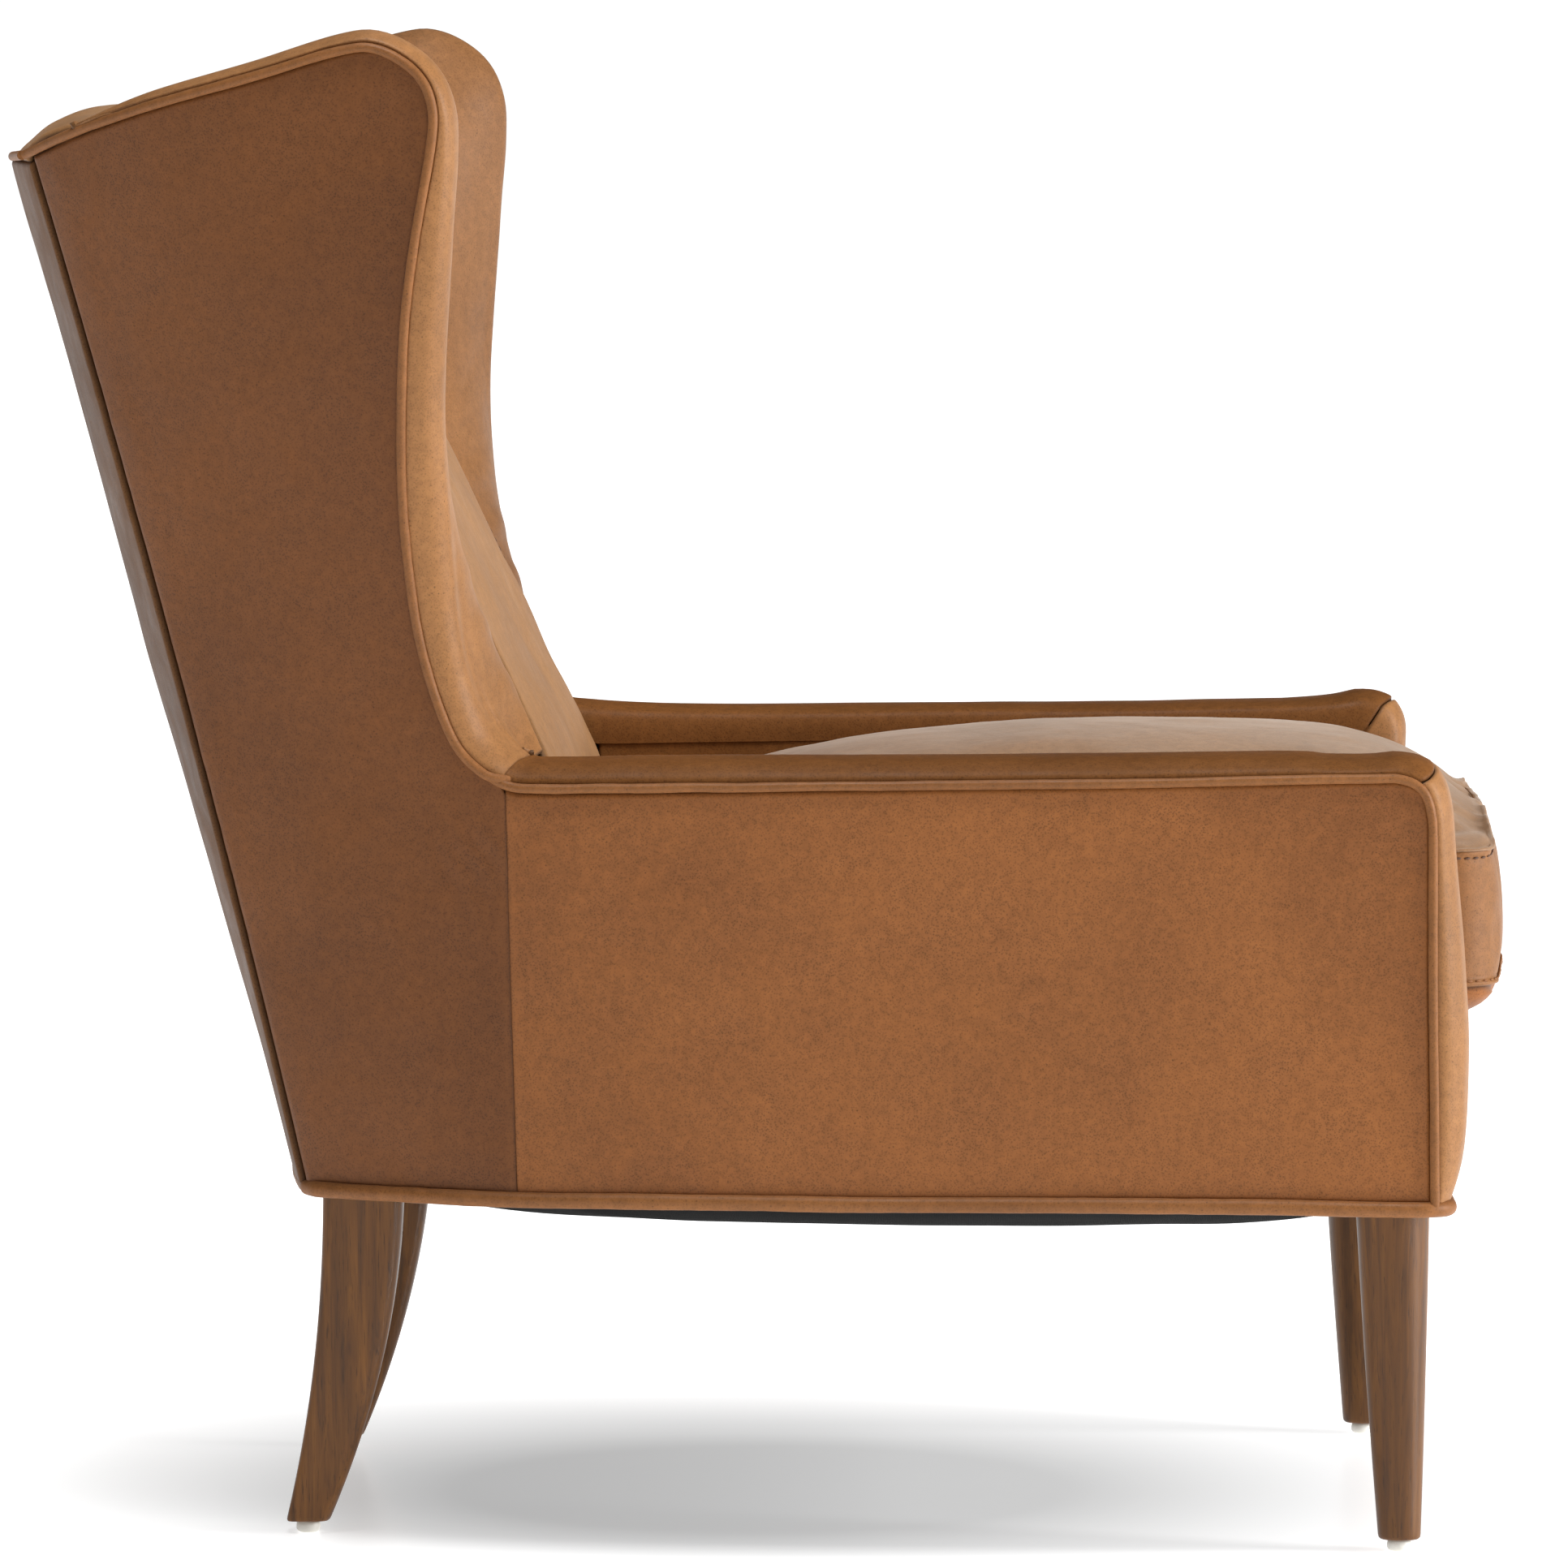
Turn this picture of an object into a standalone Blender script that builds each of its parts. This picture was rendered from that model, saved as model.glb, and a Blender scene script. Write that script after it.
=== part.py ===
"""Upholstered wing armchair, built piece by piece.

Metres, +Z up.  The origin is on the floor under the middle of the chair, the
chair faces -Y, and "left" and "right" are the sitter's, so left is +X.
Blender 4.5: run it as it is, or from the text editor.
"""
import math

import bmesh
import bpy
from mathutils import Vector

# ---------------------------------------------------------------- driving sizes
HEM_Z = 0.226            # centre of the hem welt that closes the underside
PANEL_FOOT_Z = 0.2325    # lower edge of every cover, just above the hem welt
RAIL_Z = 0.2335          # underside of the seat rails
RAIL_TOP_Z = 0.290
DECK_TOP_Z = 0.322       # the platform that the loose cushion lies on
REAR_HEM_Y = 0.287       # rear corner of the body at the hem
REAR_LEAN = 0.225        # how the rear corner leans back with height
REAR_SWEEP = 0.05
CORNER_HEM_HALF = 0.242  # half width of the back at the hem and at the top
CORNER_TOP_HALF = 0.270
CORNER_TOP_Z = 0.900
ARM_SPREAD = 0.095       # how far the sides spread forward of the back corner
WING_SPREAD = 0.044      # and how much further the wings spread
WING_START_Z = 0.48
WING_RISE = 0.37
SPREAD_RUN = 0.12
BACK_CROWN_HEM = 0.020   # the outside back bows rearward
BACK_CROWN_TOP = 0.034

WELT_RADIUS = 0.003
HEM_WELT_RADIUS = 0.005
WELT_ROOM = 0.0036       # from a welt's centre to the covers on its two sides
COVER_THICK = 0.004      # leather on its board
FIT = 0.0006             # air between neighbouring pieces

ARM_INNER_X = 0.2685     # inner face of the arms
INNER_WALL = 0.008
CUSHION_HALF_X = 0.2650
CUSHION_FRONT_Y = -0.470
CUSHION_REAR_Y = 0.0925
CUSHION_NOSE = 0.0166    # how far the middle of its front edge bulges
CUSHION_CORNER = 0.030
CUSHION_FOOT_Z = 0.3227
BOXING_LOW_Z = 0.3565
BOXING_HIGH_Z = 0.4425
CUSHION_CROWN = 0.0625
CUSHION_FALL = 0.35      # the crown falls away towards the back
CUSHION_SHELL = 0.003
CUSHION_CENTRE_Y = -0.19

LEG_TOP_Z = 0.2287
LEG_FOOT_Z = 0.0082
FRONT_LEG_X = 0.274
FRONT_LEG_TOP_Y = -0.402
FRONT_LEG_FOOT_Y = -0.4075
FRONT_LEG_TOP_R = 0.0236
FRONT_LEG_FOOT_R = 0.0134
BACK_LEG_X = 0.200
BACK_LEG_FRONT_Y = 0.224
BACK_LEG_REAR_Y = 0.275
GLIDE_RADIUS = 0.0078
BOLT_RADIUS = 0.004

# The edge where the side covers meet the pads, seen from the side (y, z):
# up the arm front, back along the arm, up the wing and over it to the corner.
ARM_FRONT_EDGE = [(-0.426, 0.233), (-0.425, 0.300), (-0.424, 0.372), (-0.4235, 0.448)]
ARM_CORNER = [(-0.4225, 0.471), (-0.417, 0.4865), (-0.404, 0.4935)]
ARM_TOP_EDGE = [(-0.380, 0.4940), (-0.240, 0.4910), (-0.088, 0.4890), (0.060, 0.4870),
                (0.128, 0.4862)]
WING_FRONT_EDGE = [(0.155, 0.4885), (0.179, 0.505), (0.193, 0.531), (0.206, 0.575),
                   (0.214, 0.630), (0.217, 0.690), (0.214, 0.770), (0.207, 0.827),
                   (0.197, 0.882)]
WING_TOP_EDGE = [(0.1955, 0.910), (0.205, 0.931), (0.228, 0.9455), (0.252, 0.9450),
                 (0.306, 0.929), (0.372, 0.911), (0.420, 0.895), (0.458, 0.879)]

# Wing pads, one row for each place along that edge: the place as a share of
# the whole wing edge, the pad's height above it, and the inner seam (x, y, z).
WING_STATIONS = [
    (0.00, 0.0165, (0.262, 0.1340, 0.5060)),
    (0.06, 0.0210, (0.249, 0.1390, 0.5200)),
    (0.14, 0.0260, (0.241, 0.1520, 0.5450)),
    (0.24, 0.0290, (0.240, 0.1790, 0.6020)),
    (0.34, 0.0260, (0.240, 0.2060, 0.6580)),
    (0.44, 0.0250, (0.241, 0.2340, 0.7160)),
    (0.53, 0.0210, (0.245, 0.2640, 0.7740)),
    (0.61, 0.0150, (0.251, 0.2930, 0.8220)),
    (0.68, 0.0130, (0.258, 0.3180, 0.8560)),
    (0.76, 0.0120, (0.268, 0.3460, 0.8820)),
    (0.84, 0.0115, (0.282, 0.3720, 0.8980)),
    (0.89, 0.0105, (0.293, 0.3860, 0.9015)),
]

# Section of the inside back pad from the deck up and over the crest (y, z),
# with the pad's half width there and how much of the back's bow it follows.
BACK_PAD_FACE = [
    (0.1000, 0.3260, 0.2665, 0.0), (0.1020, 0.3900, 0.2665, 0.0),
    (0.1120, 0.4560, 0.2665, 0.0), (0.1240, 0.4880, 0.2600, 0.0),
    (0.1370, 0.5180, 0.2460, 0.0), (0.1520, 0.5450, 0.2400, 0.0),
    (0.1790, 0.6020, 0.2390, 0.0), (0.2060, 0.6580, 0.2390, 0.0),
    (0.2340, 0.7160, 0.2400, 0.0), (0.2640, 0.7740, 0.2440, 0.0),
    (0.2930, 0.8220, 0.2500, 0.0), (0.3180, 0.8560, 0.2570, 0.0),
    (0.3460, 0.8820, 0.2660, 0.0), (0.3740, 0.9000, 0.2760, 0.1),
    (0.4020, 0.9080, 0.2820, 0.3), (0.4300, 0.9080, 0.2880, 0.6),
    (0.4580, 0.8990, 0.2900, 0.85), (0.4780, 0.8840, 0.2690, 1.0),
]
BACK_PAD_REAR = [
    (0.4700, 0.8790, 0.2650, 1.0), (0.4460, 0.8800, 0.2690, 0.7),
    (0.4000, 0.8740, 0.2600, 0.3), (0.3700, 0.8500, 0.2550, 0.0),
    (0.3300, 0.7700, 0.2380, 0.0), (0.2700, 0.6500, 0.2380, 0.0),
    (0.2100, 0.5200, 0.2380, 0.0), (0.1820, 0.4400, 0.2550, 0.0),
    (0.1700, 0.3260, 0.2600, 0.0),
]
BACK_PILLOW = 0.006      # the pad is this much fuller in its middle

LEATHER = (0.36, 0.175, 0.075)
LEATHER_DARK = (0.24, 0.105, 0.045)
LEATHER_LIGHT = (0.42, 0.235, 0.125)


# ------------------------------------------------------------------- materials
def make_material(name, colour, roughness, metallic=0.0):
    material = bpy.data.materials.new(name)
    material.use_nodes = True
    shader = material.node_tree.nodes["Principled BSDF"]
    shader.inputs["Base Color"].default_value = (*colour, 1.0)
    shader.inputs["Roughness"].default_value = roughness
    shader.inputs["Metallic"].default_value = metallic
    return material


def leather(name, colour=LEATHER):
    return make_material(name + "_leather", colour, 0.52)


def walnut(name):
    return make_material(name + "_walnut", (0.12, 0.055, 0.024), 0.42)


def timber(name):
    return make_material(name + "_beech", (0.52, 0.36, 0.20), 0.65)


def steel(name):
    return make_material(name + "_steel", (0.45, 0.45, 0.46), 0.35, 1.0)


# ---------------------------------------------------------------- mesh helpers
def link(obj, material, parent=None):
    obj.data.materials.append(material)
    bpy.context.scene.collection.objects.link(obj)
    if parent is not None:
        obj.parent = parent
    return obj


def solid(name, points, faces, material, parent=None, smooth=True):
    """One closed body from points and faces, turned to face outward."""
    offset = parent.location if parent is not None else Vector((0.0, 0.0, 0.0))
    shape = bmesh.new()
    corners = [shape.verts.new(Vector(point) - offset) for point in points]
    for face in faces:
        shape.faces.new([corners[index] for index in face])
    bmesh.ops.recalc_face_normals(shape, faces=shape.faces[:])
    mesh = bpy.data.meshes.new(name)
    shape.to_mesh(mesh)
    shape.free()
    if smooth:
        mesh.shade_smooth()
        mesh.set_sharp_from_angle(angle=math.radians(40.0))
    return link(bpy.data.objects.new(name, mesh), material, parent)


def loft(name, loops, material, parent=None, cap=None):
    """A body through equal closed loops. Each end has one flat cap, or the cap's
    own faces, given as places around the loop."""
    count = len(loops[0])
    points = [point for loop in loops for point in loop]
    faces = []
    for row in range(len(loops) - 1):
        for column in range(count):
            after = (column + 1) % count
            low = row * count
            high = low + count
            faces.append((low + column, low + after, high + after, high + column))
    for start in (0, len(points) - count):
        for face in cap or [range(count)]:
            faces.append(tuple(start + place for place in face))
    return solid(name, points, faces, material, parent)


def ring(name, loops, material, parent=None):
    """A closed band: the loops are joined row to row and the last to the first."""
    count = len(loops[0])
    rows = len(loops)
    points = [point for loop in loops for point in loop]
    faces = []
    for row in range(rows):
        for column in range(count):
            after = (column + 1) % count
            low = row * count
            high = ((row + 1) % rows) * count
            faces.append((low + column, low + after, high + after, high + column))
    return solid(name, points, faces, material, parent)


def slab(name, outer, inner, material):
    """A sheet with thickness between two equal grids of points."""
    rows = len(outer)
    columns = len(outer[0])
    points = [p for line in outer for p in line] + [p for line in inner for p in line]
    back = rows * columns
    faces = []
    for row in range(rows - 1):
        for column in range(columns - 1):
            a = row * columns + column
            b = a + 1
            c = b + columns
            d = a + columns
            faces.append((a, b, c, d))
            faces.append((a + back, d + back, c + back, b + back))
    border = [column for column in range(columns)]
    border += [row * columns + columns - 1 for row in range(1, rows)]
    border += [(rows - 1) * columns + column for column in reversed(range(columns - 1))]
    border += [row * columns for row in reversed(range(1, rows - 1))]
    for step, index in enumerate(border):
        following = border[(step + 1) % len(border)]
        faces.append((index, following, following + back, index + back))
    return solid(name, points, faces, material)


def board(name, low, high, material, bevel=0.0015, parent=None):
    """A plain board between two corners, with its origin in its middle."""
    centre = (Vector(low) + Vector(high)) / 2.0
    size = Vector(high) - Vector(low)
    shape = bmesh.new()
    bmesh.ops.create_cube(shape, size=1.0)
    bmesh.ops.scale(shape, vec=size, verts=shape.verts[:])
    if bevel:
        bmesh.ops.bevel(shape, geom=shape.edges[:], offset=bevel, segments=1, affect="EDGES")
    mesh = bpy.data.meshes.new(name)
    shape.to_mesh(mesh)
    shape.free()
    obj = bpy.data.objects.new(name, mesh)
    obj.location = centre if parent is None else centre - parent.location
    return link(obj, material, parent)


def tube(name, path, radius, material, sides_step=1, cyclic=False):
    """A round cord, wire or welt along a path, with filled ends."""
    curve = bpy.data.curves.new(name, "CURVE")
    curve.dimensions = "3D"
    curve.bevel_depth = radius
    curve.bevel_resolution = sides_step
    curve.use_fill_caps = not cyclic
    curve.render_resolution_u = 0
    spline = curve.splines.new("POLY")
    spline.points.add(len(path) - 1)
    for point, place in zip(spline.points, path):
        point.co = (*place, 1.0)
    spline.use_cyclic_u = cyclic
    return link(bpy.data.objects.new(name, curve), material)


def lathe(name, profile, segments, material, foot=(0.0, 0.0), lean=0.0, parent=None):
    """A turned piece from (radius, z) points, its axis leaning along Y by lean."""
    low_z = profile[0][1]
    points = []
    rings = []
    for radius, z in profile:
        centre_y = foot[1] + lean * (z - low_z)
        if radius == 0.0:
            rings.append([len(points)])
            points.append((foot[0], centre_y, z))
            continue
        rings.append(list(range(len(points), len(points) + segments)))
        for step in range(segments):
            angle = 2.0 * math.pi * step / segments
            points.append((foot[0] + radius * math.cos(angle),
                           centre_y + radius * math.sin(angle), z))
    faces = []
    for lower, upper in zip(rings, rings[1:]):
        for step in range(segments):
            after = (step + 1) % segments
            if len(lower) == 1:
                faces.append((lower[0], upper[after], upper[step]))
            elif len(upper) == 1:
                faces.append((lower[step], lower[after], upper[0]))
            else:
                faces.append((lower[step], lower[after], upper[after], upper[step]))
    return solid(name, points, faces, material, parent)


def smooth_path(points, per_span):
    """A Catmull-Rom curve through points of any dimension."""
    ends = [points[0]] + list(points) + [points[-1]]
    path = []
    for a, b, c, d in zip(ends, ends[1:], ends[2:], ends[3:]):
        for step in range(per_span):
            t = step / per_span
            path.append(tuple(
                0.5 * (2 * q + (r - p) * t + (2 * p - 5 * q + 4 * r - s) * t * t
                       + (3 * q - p - 3 * r + s) * t ** 3)
                for p, q, r, s in zip(a, b, c, d)))
    path.append(tuple(points[-1]))
    return path


def along(path, share):
    """The place at a share of a path's length, and its direction."""
    lengths = [0.0]
    for a, b in zip(path, path[1:]):
        lengths.append(lengths[-1] + math.dist(a, b))
    wanted = min(max(share, 0.0), 1.0) * lengths[-1]
    for index in range(len(path) - 1):
        if wanted <= lengths[index + 1] or index == len(path) - 2:
            span = lengths[index + 1] - lengths[index]
            t = (wanted - lengths[index]) / span
            a, b = path[index], path[index + 1]
            place = tuple(p + (q - p) * t for p, q in zip(a, b))
            heading = tuple((q - p) / span for p, q in zip(a, b))
            return place, heading
    raise ValueError("a path needs two points")


def ease(value):
    value = min(max(value, 0.0), 1.0)
    return value * value * (3.0 - 2.0 * value)


def lerp(a, b, t):
    return a + (b - a) * t


def table_value(rows, key, column):
    """Linear reading of a column of rows that are sorted by their first value."""
    for low, high in zip(rows, rows[1:]):
        if key <= high[0]:
            t = (key - low[0]) / (high[0] - low[0])
            return lerp(low[column], high[column], max(t, 0.0))
    return rows[-1][column]


# ------------------------------------------------------------- the body's shape
def rear_edge(z):
    """Where the side and the back meet, as y at height z."""
    rise = z - 0.225
    return REAR_HEM_Y + REAR_LEAN * rise + REAR_SWEEP * rise * rise


def corner_half(z):
    return lerp(CORNER_HEM_HALF, CORNER_TOP_HALF, (z - HEM_Z) / (CORNER_TOP_Z - HEM_Z))


def half_width(y, z):
    """Half the chair's width at a place on its side."""
    forward = max(rear_edge(z) - y, 0.0)
    spread = ARM_SPREAD + WING_SPREAD * ease((z - WING_START_Z) / WING_RISE)
    return corner_half(z) + spread * (1.0 - math.exp(-forward / SPREAD_RUN))


def back_crown(z):
    return lerp(BACK_CROWN_HEM, BACK_CROWN_TOP, ease((z - HEM_Z) / 0.35))


def sides():
    """The sitter's left is +X and their right is -X."""
    return (("left", 1.0), ("right", -1.0))


SPAN = 3                 # steps of the edge between two of its points
EDGE = smooth_path(ARM_FRONT_EDGE + ARM_CORNER + ARM_TOP_EDGE + WING_FRONT_EDGE
                   + WING_TOP_EDGE, SPAN)
ARM_EDGE_END = len(smooth_path(ARM_FRONT_EDGE + ARM_CORNER + ARM_TOP_EDGE, SPAN)) - 1
FACING_END = len(smooth_path(ARM_FRONT_EDGE + ARM_CORNER[:2], SPAN)) - 1
ARM_EDGE = EDGE[FACING_END:ARM_EDGE_END + SPAN]
FACING_EDGE = EDGE[:FACING_END + 1]
WING_EDGE = EDGE[ARM_EDGE_END + SPAN:]


def outward(heading):
    """The side view's normal, pointing away from the side covers."""
    return (-heading[1], heading[0])


def shifted_edge(distance):
    """The edge moved away from (+) or into (-) the side covers."""
    moved = []
    for index, place in enumerate(EDGE):
        before = EDGE[max(index - 1, 0)]
        after = EDGE[min(index + 1, len(EDGE) - 1)]
        length = math.dist(before, after)
        heading = ((after[0] - before[0]) / length, (after[1] - before[1]) / length)
        normal = outward(heading)
        moved.append((place[0] + normal[0] * distance, place[1] + normal[1] * distance))
    return moved


def side_point(y, z, inset, sign):
    return (sign * (half_width(y, z) - inset), y, z)


# ------------------------------------------------------------------ side covers
def crossing(path, wanted, axis, start, stop):
    """The other coordinate where part of a path passes a value."""
    for a, b in zip(path[start:stop], path[start + 1:stop + 1]):
        low, high = sorted((a[axis], b[axis]))
        if low <= wanted <= high and high > low:
            t = (wanted - a[axis]) / (b[axis] - a[axis])
            return lerp(a[1 - axis], b[1 - axis], t)
    return None


def outside_arm_panel(name, sign):
    """The side cover below the arm, in front of the vertical seam."""
    inner_edge = shifted_edge(-WELT_ROOM)
    seam_y = 0.1500
    front_y = -0.4190
    columns = 16
    rows = 5
    outer, inner = [], []
    for column in range(columns + 1):
        y = lerp(front_y, seam_y, (column / columns) ** 1.15)
        top = crossing(inner_edge, y, 0, (len(ARM_FRONT_EDGE) - 1) * SPAN, ARM_EDGE_END + SPAN)
        line = [lerp(PANEL_FOOT_Z, top, row / rows) for row in range(rows + 1)]
        outer.append([side_point(y, z, 0.001, sign) for z in line])
        inner.append([side_point(y, z, 0.001 + COVER_THICK, sign) for z in line])
    slab(name, outer, inner, leather(name))


def outside_wing_panel(name, sign):
    """The side cover behind the seam, from the hem up to the wing's top."""
    inner_edge = shifted_edge(-WELT_ROOM)
    crest = max(range(len(inner_edge)), key=lambda index: inner_edge[index][1])
    peak_z = inner_edge[crest][1]
    heights = [lerp(PANEL_FOOT_Z, 0.482, step / 7) for step in range(8)]
    heights += [0.492, 0.500, 0.512, 0.530, 0.555, 0.590, 0.630, 0.680, 0.730, 0.780]
    heights += [0.825, 0.855, 0.872, 0.884, 0.896, 0.908, 0.920, 0.931, peak_z - 0.0015]
    columns = 6
    outer, inner = [], []
    for z in heights:
        front = 0.1525
        if z > 0.487:
            front = crossing(inner_edge, z, 1, ARM_EDGE_END - 1, crest)
        rear = rear_edge(z) - 0.004
        over = crossing(inner_edge, z, 1, crest, len(inner_edge) - 1)
        if over is not None:
            rear = min(rear, over)
        line = [lerp(front, rear, column / columns) for column in range(columns + 1)]
        outer.append([side_point(y, z, 0.001, sign) for y in line])
        inner.append([side_point(y, z, 0.001 + COVER_THICK, sign) for y in line])
    slab(name, outer, inner, leather(name, LEATHER_DARK))


def side_welt(name, sign):
    path = [side_point(y, z, -0.0005, sign) for y, z in EDGE]
    tube(name, path, WELT_RADIUS, leather(name, LEATHER_LIGHT))


# ----------------------------------------------------------- pads on the frame
def band_section(place, heading, height, sign, shear=0.0):
    """Section of the pad that caps an arm, as points around its outline."""
    normal = outward(heading)
    half = half_width(*place)
    inner = ARM_INNER_X
    outline = [
        (WELT_ROOM, half - 0.0010), (0.62 * height, half - 0.0035),
        (0.90 * height, half - 0.0120), (height, half - 0.0300),
        (0.97 * height, inner + 0.0260), (0.80 * height, inner + 0.0110),
        (0.45 * height, inner + 0.0030), (-0.002, inner), (-0.010, inner),
        (-0.010, inner + INNER_WALL + 0.001), (-0.002, inner + 0.0150),
        (-0.002, half - 0.0200), (0.0010, half - 0.0085),
    ]
    loop = []
    for distance, x in outline:
        y = place[0] + normal[0] * distance - shear * (half - x)
        loop.append((sign * x, y, place[1] + normal[1] * distance))
    return loop


def arm_front_facing(name, sign):
    """The padded strip down the front of the arm, fullest below its middle."""
    heights = [(0.0, 0.0115), (0.12, 0.0205), (0.35, 0.0235), (0.60, 0.0215), (0.85, 0.0165),
               (1.0, 0.0150)]
    loops = []
    steps = 16
    for step in range(steps + 1):
        share = step / steps * 0.980
        place, heading = along(FACING_EDGE, share)
        loops.append(band_section(place, heading, table_value(heights, share, 1), sign))
    loft(name, loops, leather(name, LEATHER_LIGHT))


def arm_pad(name, sign):
    """The padded top of the arm, from its front corner to the wing."""
    heights = [(0.0, 0.0152), (0.15, 0.0132), (0.50, 0.0150), (0.80, 0.0165), (1.0, 0.0170)]
    loops = []
    steps = 20
    for step in range(steps + 1):
        share = (step / steps) ** 1.3 * 0.980 + 0.009
        place, heading = along(ARM_EDGE, share)
        shear = 0.34 * ease((share - 0.80) / 0.2)
        loops.append(band_section(place, heading, table_value(heights, share, 1), sign, shear))
    loft(name, loops, leather(name))


def inside_arm_panel(name, sign):
    """The cover on the inner side of the arm, down to the seat platform."""
    low_z, high_z = 0.2960, 0.4755
    front_y, rear_y = -0.4120, 0.0960
    columns = 6
    outer, inner = [], []
    for column in range(columns + 1):
        y = lerp(front_y, rear_y, column / columns)
        top = high_z - (0.014 if column == 0 else 0.0)
        outer.append([(sign * ARM_INNER_X, y, low_z), (sign * ARM_INNER_X, y, top)])
        far = ARM_INNER_X + INNER_WALL
        inner.append([(sign * far, y, low_z), (sign * far, y, top)])
    slab(name, outer, inner, leather(name))


def wing_section(share, height, seam, sign):
    """Section of a wing pad from its outer edge round to the inner seam."""
    place, heading = along(WING_EDGE, share)
    normal = outward(heading)
    half = half_width(*place)
    seam = Vector(seam)
    slim = min(1.0, (half - seam.x) / 0.070)

    def raised(distance, inset):
        return Vector((half - inset * slim, place[0] + normal[0] * distance,
                       place[1] + normal[1] * distance))

    cap = [raised(WELT_ROOM + 2.5 * FIT, 0.0010), raised(0.62 * height, 0.0035),
           raised(0.92 * height, 0.0120), raised(height, 0.0260)]
    shoulder = raised(0.55 * height, 0.0480)
    face = []
    for step in range(1, 6):
        t = step / 5
        bend = (1 - t) ** 2 * cap[-1] + 2 * t * (1 - t) * shoulder + t * t * seam
        face.append(bend)
    backing = []
    for step in range(5):
        t = 1.0 - step / 5
        y = lerp(place[0] - normal[0] * 0.002, seam.y, t)
        z = lerp(place[1] - normal[1] * 0.002, seam.z, t)
        bow = 0.0048 * t * (1.0 - t)
        backing.append(Vector((half_width(y, z) - 0.0212 * slim - bow, y, z)))
    edge_back = raised(-0.002, 0.0210)
    outline = cap + face + backing + [edge_back]
    return [(sign * point.x, point.y, point.z) for point in outline]


# The ends of a wing pad are bent, so they are laddered from its face to its backing.
WING_CAP = [(0, 1, 14), (1, 2, 14), (2, 3, 13, 14), (3, 4, 12, 13), (4, 5, 11, 12),
            (5, 6, 10, 11), (6, 7, 9, 10), (7, 8, 9)]


def wing_pad(name, sign):
    """The thick pad on the inside of a wing, wrapped over its front and top."""
    rows = [(share, height, *seam) for share, height, seam in WING_STATIONS]
    steps = 24
    first, last = WING_STATIONS[0][0], WING_STATIONS[-1][0]
    loops = []
    for step in range(steps + 1):
        share = lerp(first, last, step / steps)
        height = table_value(rows, share, 1)
        seam = [table_value(rows, share, column) for column in (2, 3, 4)]
        seam[0] += FIT
        loops.append(wing_section(share, height, seam, sign))
    loft(name, loops, leather(name), cap=WING_CAP)


def inside_back_pad(name):
    """The sprung back: one pad from the deck up and over the crest."""
    outline = BACK_PAD_FACE + BACK_PAD_REAR
    face_count = len(BACK_PAD_FACE)
    stations = 12
    loops = []
    for station in range(stations + 1):
        u = -1.0 + 2.0 * station / stations
        loop = []
        for index, (y, z, half, bow) in enumerate(outline):
            pillow = BACK_PILLOW * (1.0 - u ** 4) if index < face_count - 2 else 0.0
            swept = y - bow * (BACK_CROWN_TOP * u * u)
            lift = 0.35 * pillow if bow > 0.0 else 0.0
            forward = pillow if bow == 0.0 else 0.0
            loop.append((u * half, swept - forward, z + lift))
        loops.append(loop)
    loft(name, loops, leather(name, LEATHER_LIGHT))


def outside_back_panel(name):
    """The bowed cover that closes the rear, between the two rear corners."""
    rows, columns = 10, 10
    top_z = 0.8690
    outer, inner = [], []
    for row in range(rows + 1):
        z = lerp(PANEL_FOOT_Z, top_z, row / rows)
        reach = corner_half(z) - 0.004
        line, back_line = [], []
        for column in range(columns + 1):
            u = -1.0 + 2.0 * column / columns
            y = rear_edge(z) + back_crown(z) * (1.0 - abs(u) ** 2.2)
            line.append((u * reach, y, z))
            back_line.append((u * reach, y - COVER_THICK, z))
        outer.append(line)
        inner.append(back_line)
    slab(name, outer, inner, leather(name, LEATHER_DARK))


def back_welt(name):
    """The welt across the top of the outside back."""
    reach = 0.2630
    steps = 16
    path = []
    for step in range(steps + 1):
        u = -1.0 + 2.0 * step / steps
        y = lerp(0.4840, 0.4600, abs(u) ** 2.2)
        path.append((u * reach, y, 0.8755 + 0.0030 * abs(u) ** 2.2))
    tube(name, path, WELT_RADIUS, leather(name, LEATHER_LIGHT))


def front_rail_cover(name):
    """The padded leather over the front seat rail, between the arm facings."""
    rows, columns = 6, 8
    outer, inner = [], []
    for row in range(rows + 1):
        t = row / rows
        z = lerp(PANEL_FOOT_Z, 0.3180, t)
        swell = 0.0080 * math.sin(math.pi * (0.10 + 0.80 * t))
        line, back_line = [], []
        for column in range(columns + 1):
            x = lerp(-0.2665, 0.2665, column / columns)
            line.append((x, -0.4320 - swell, z))
            back_line.append((x, -0.4265, z))
        outer.append(line)
        inner.append(back_line)
    slab(name, outer, inner, leather(name, LEATHER_LIGHT))


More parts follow.
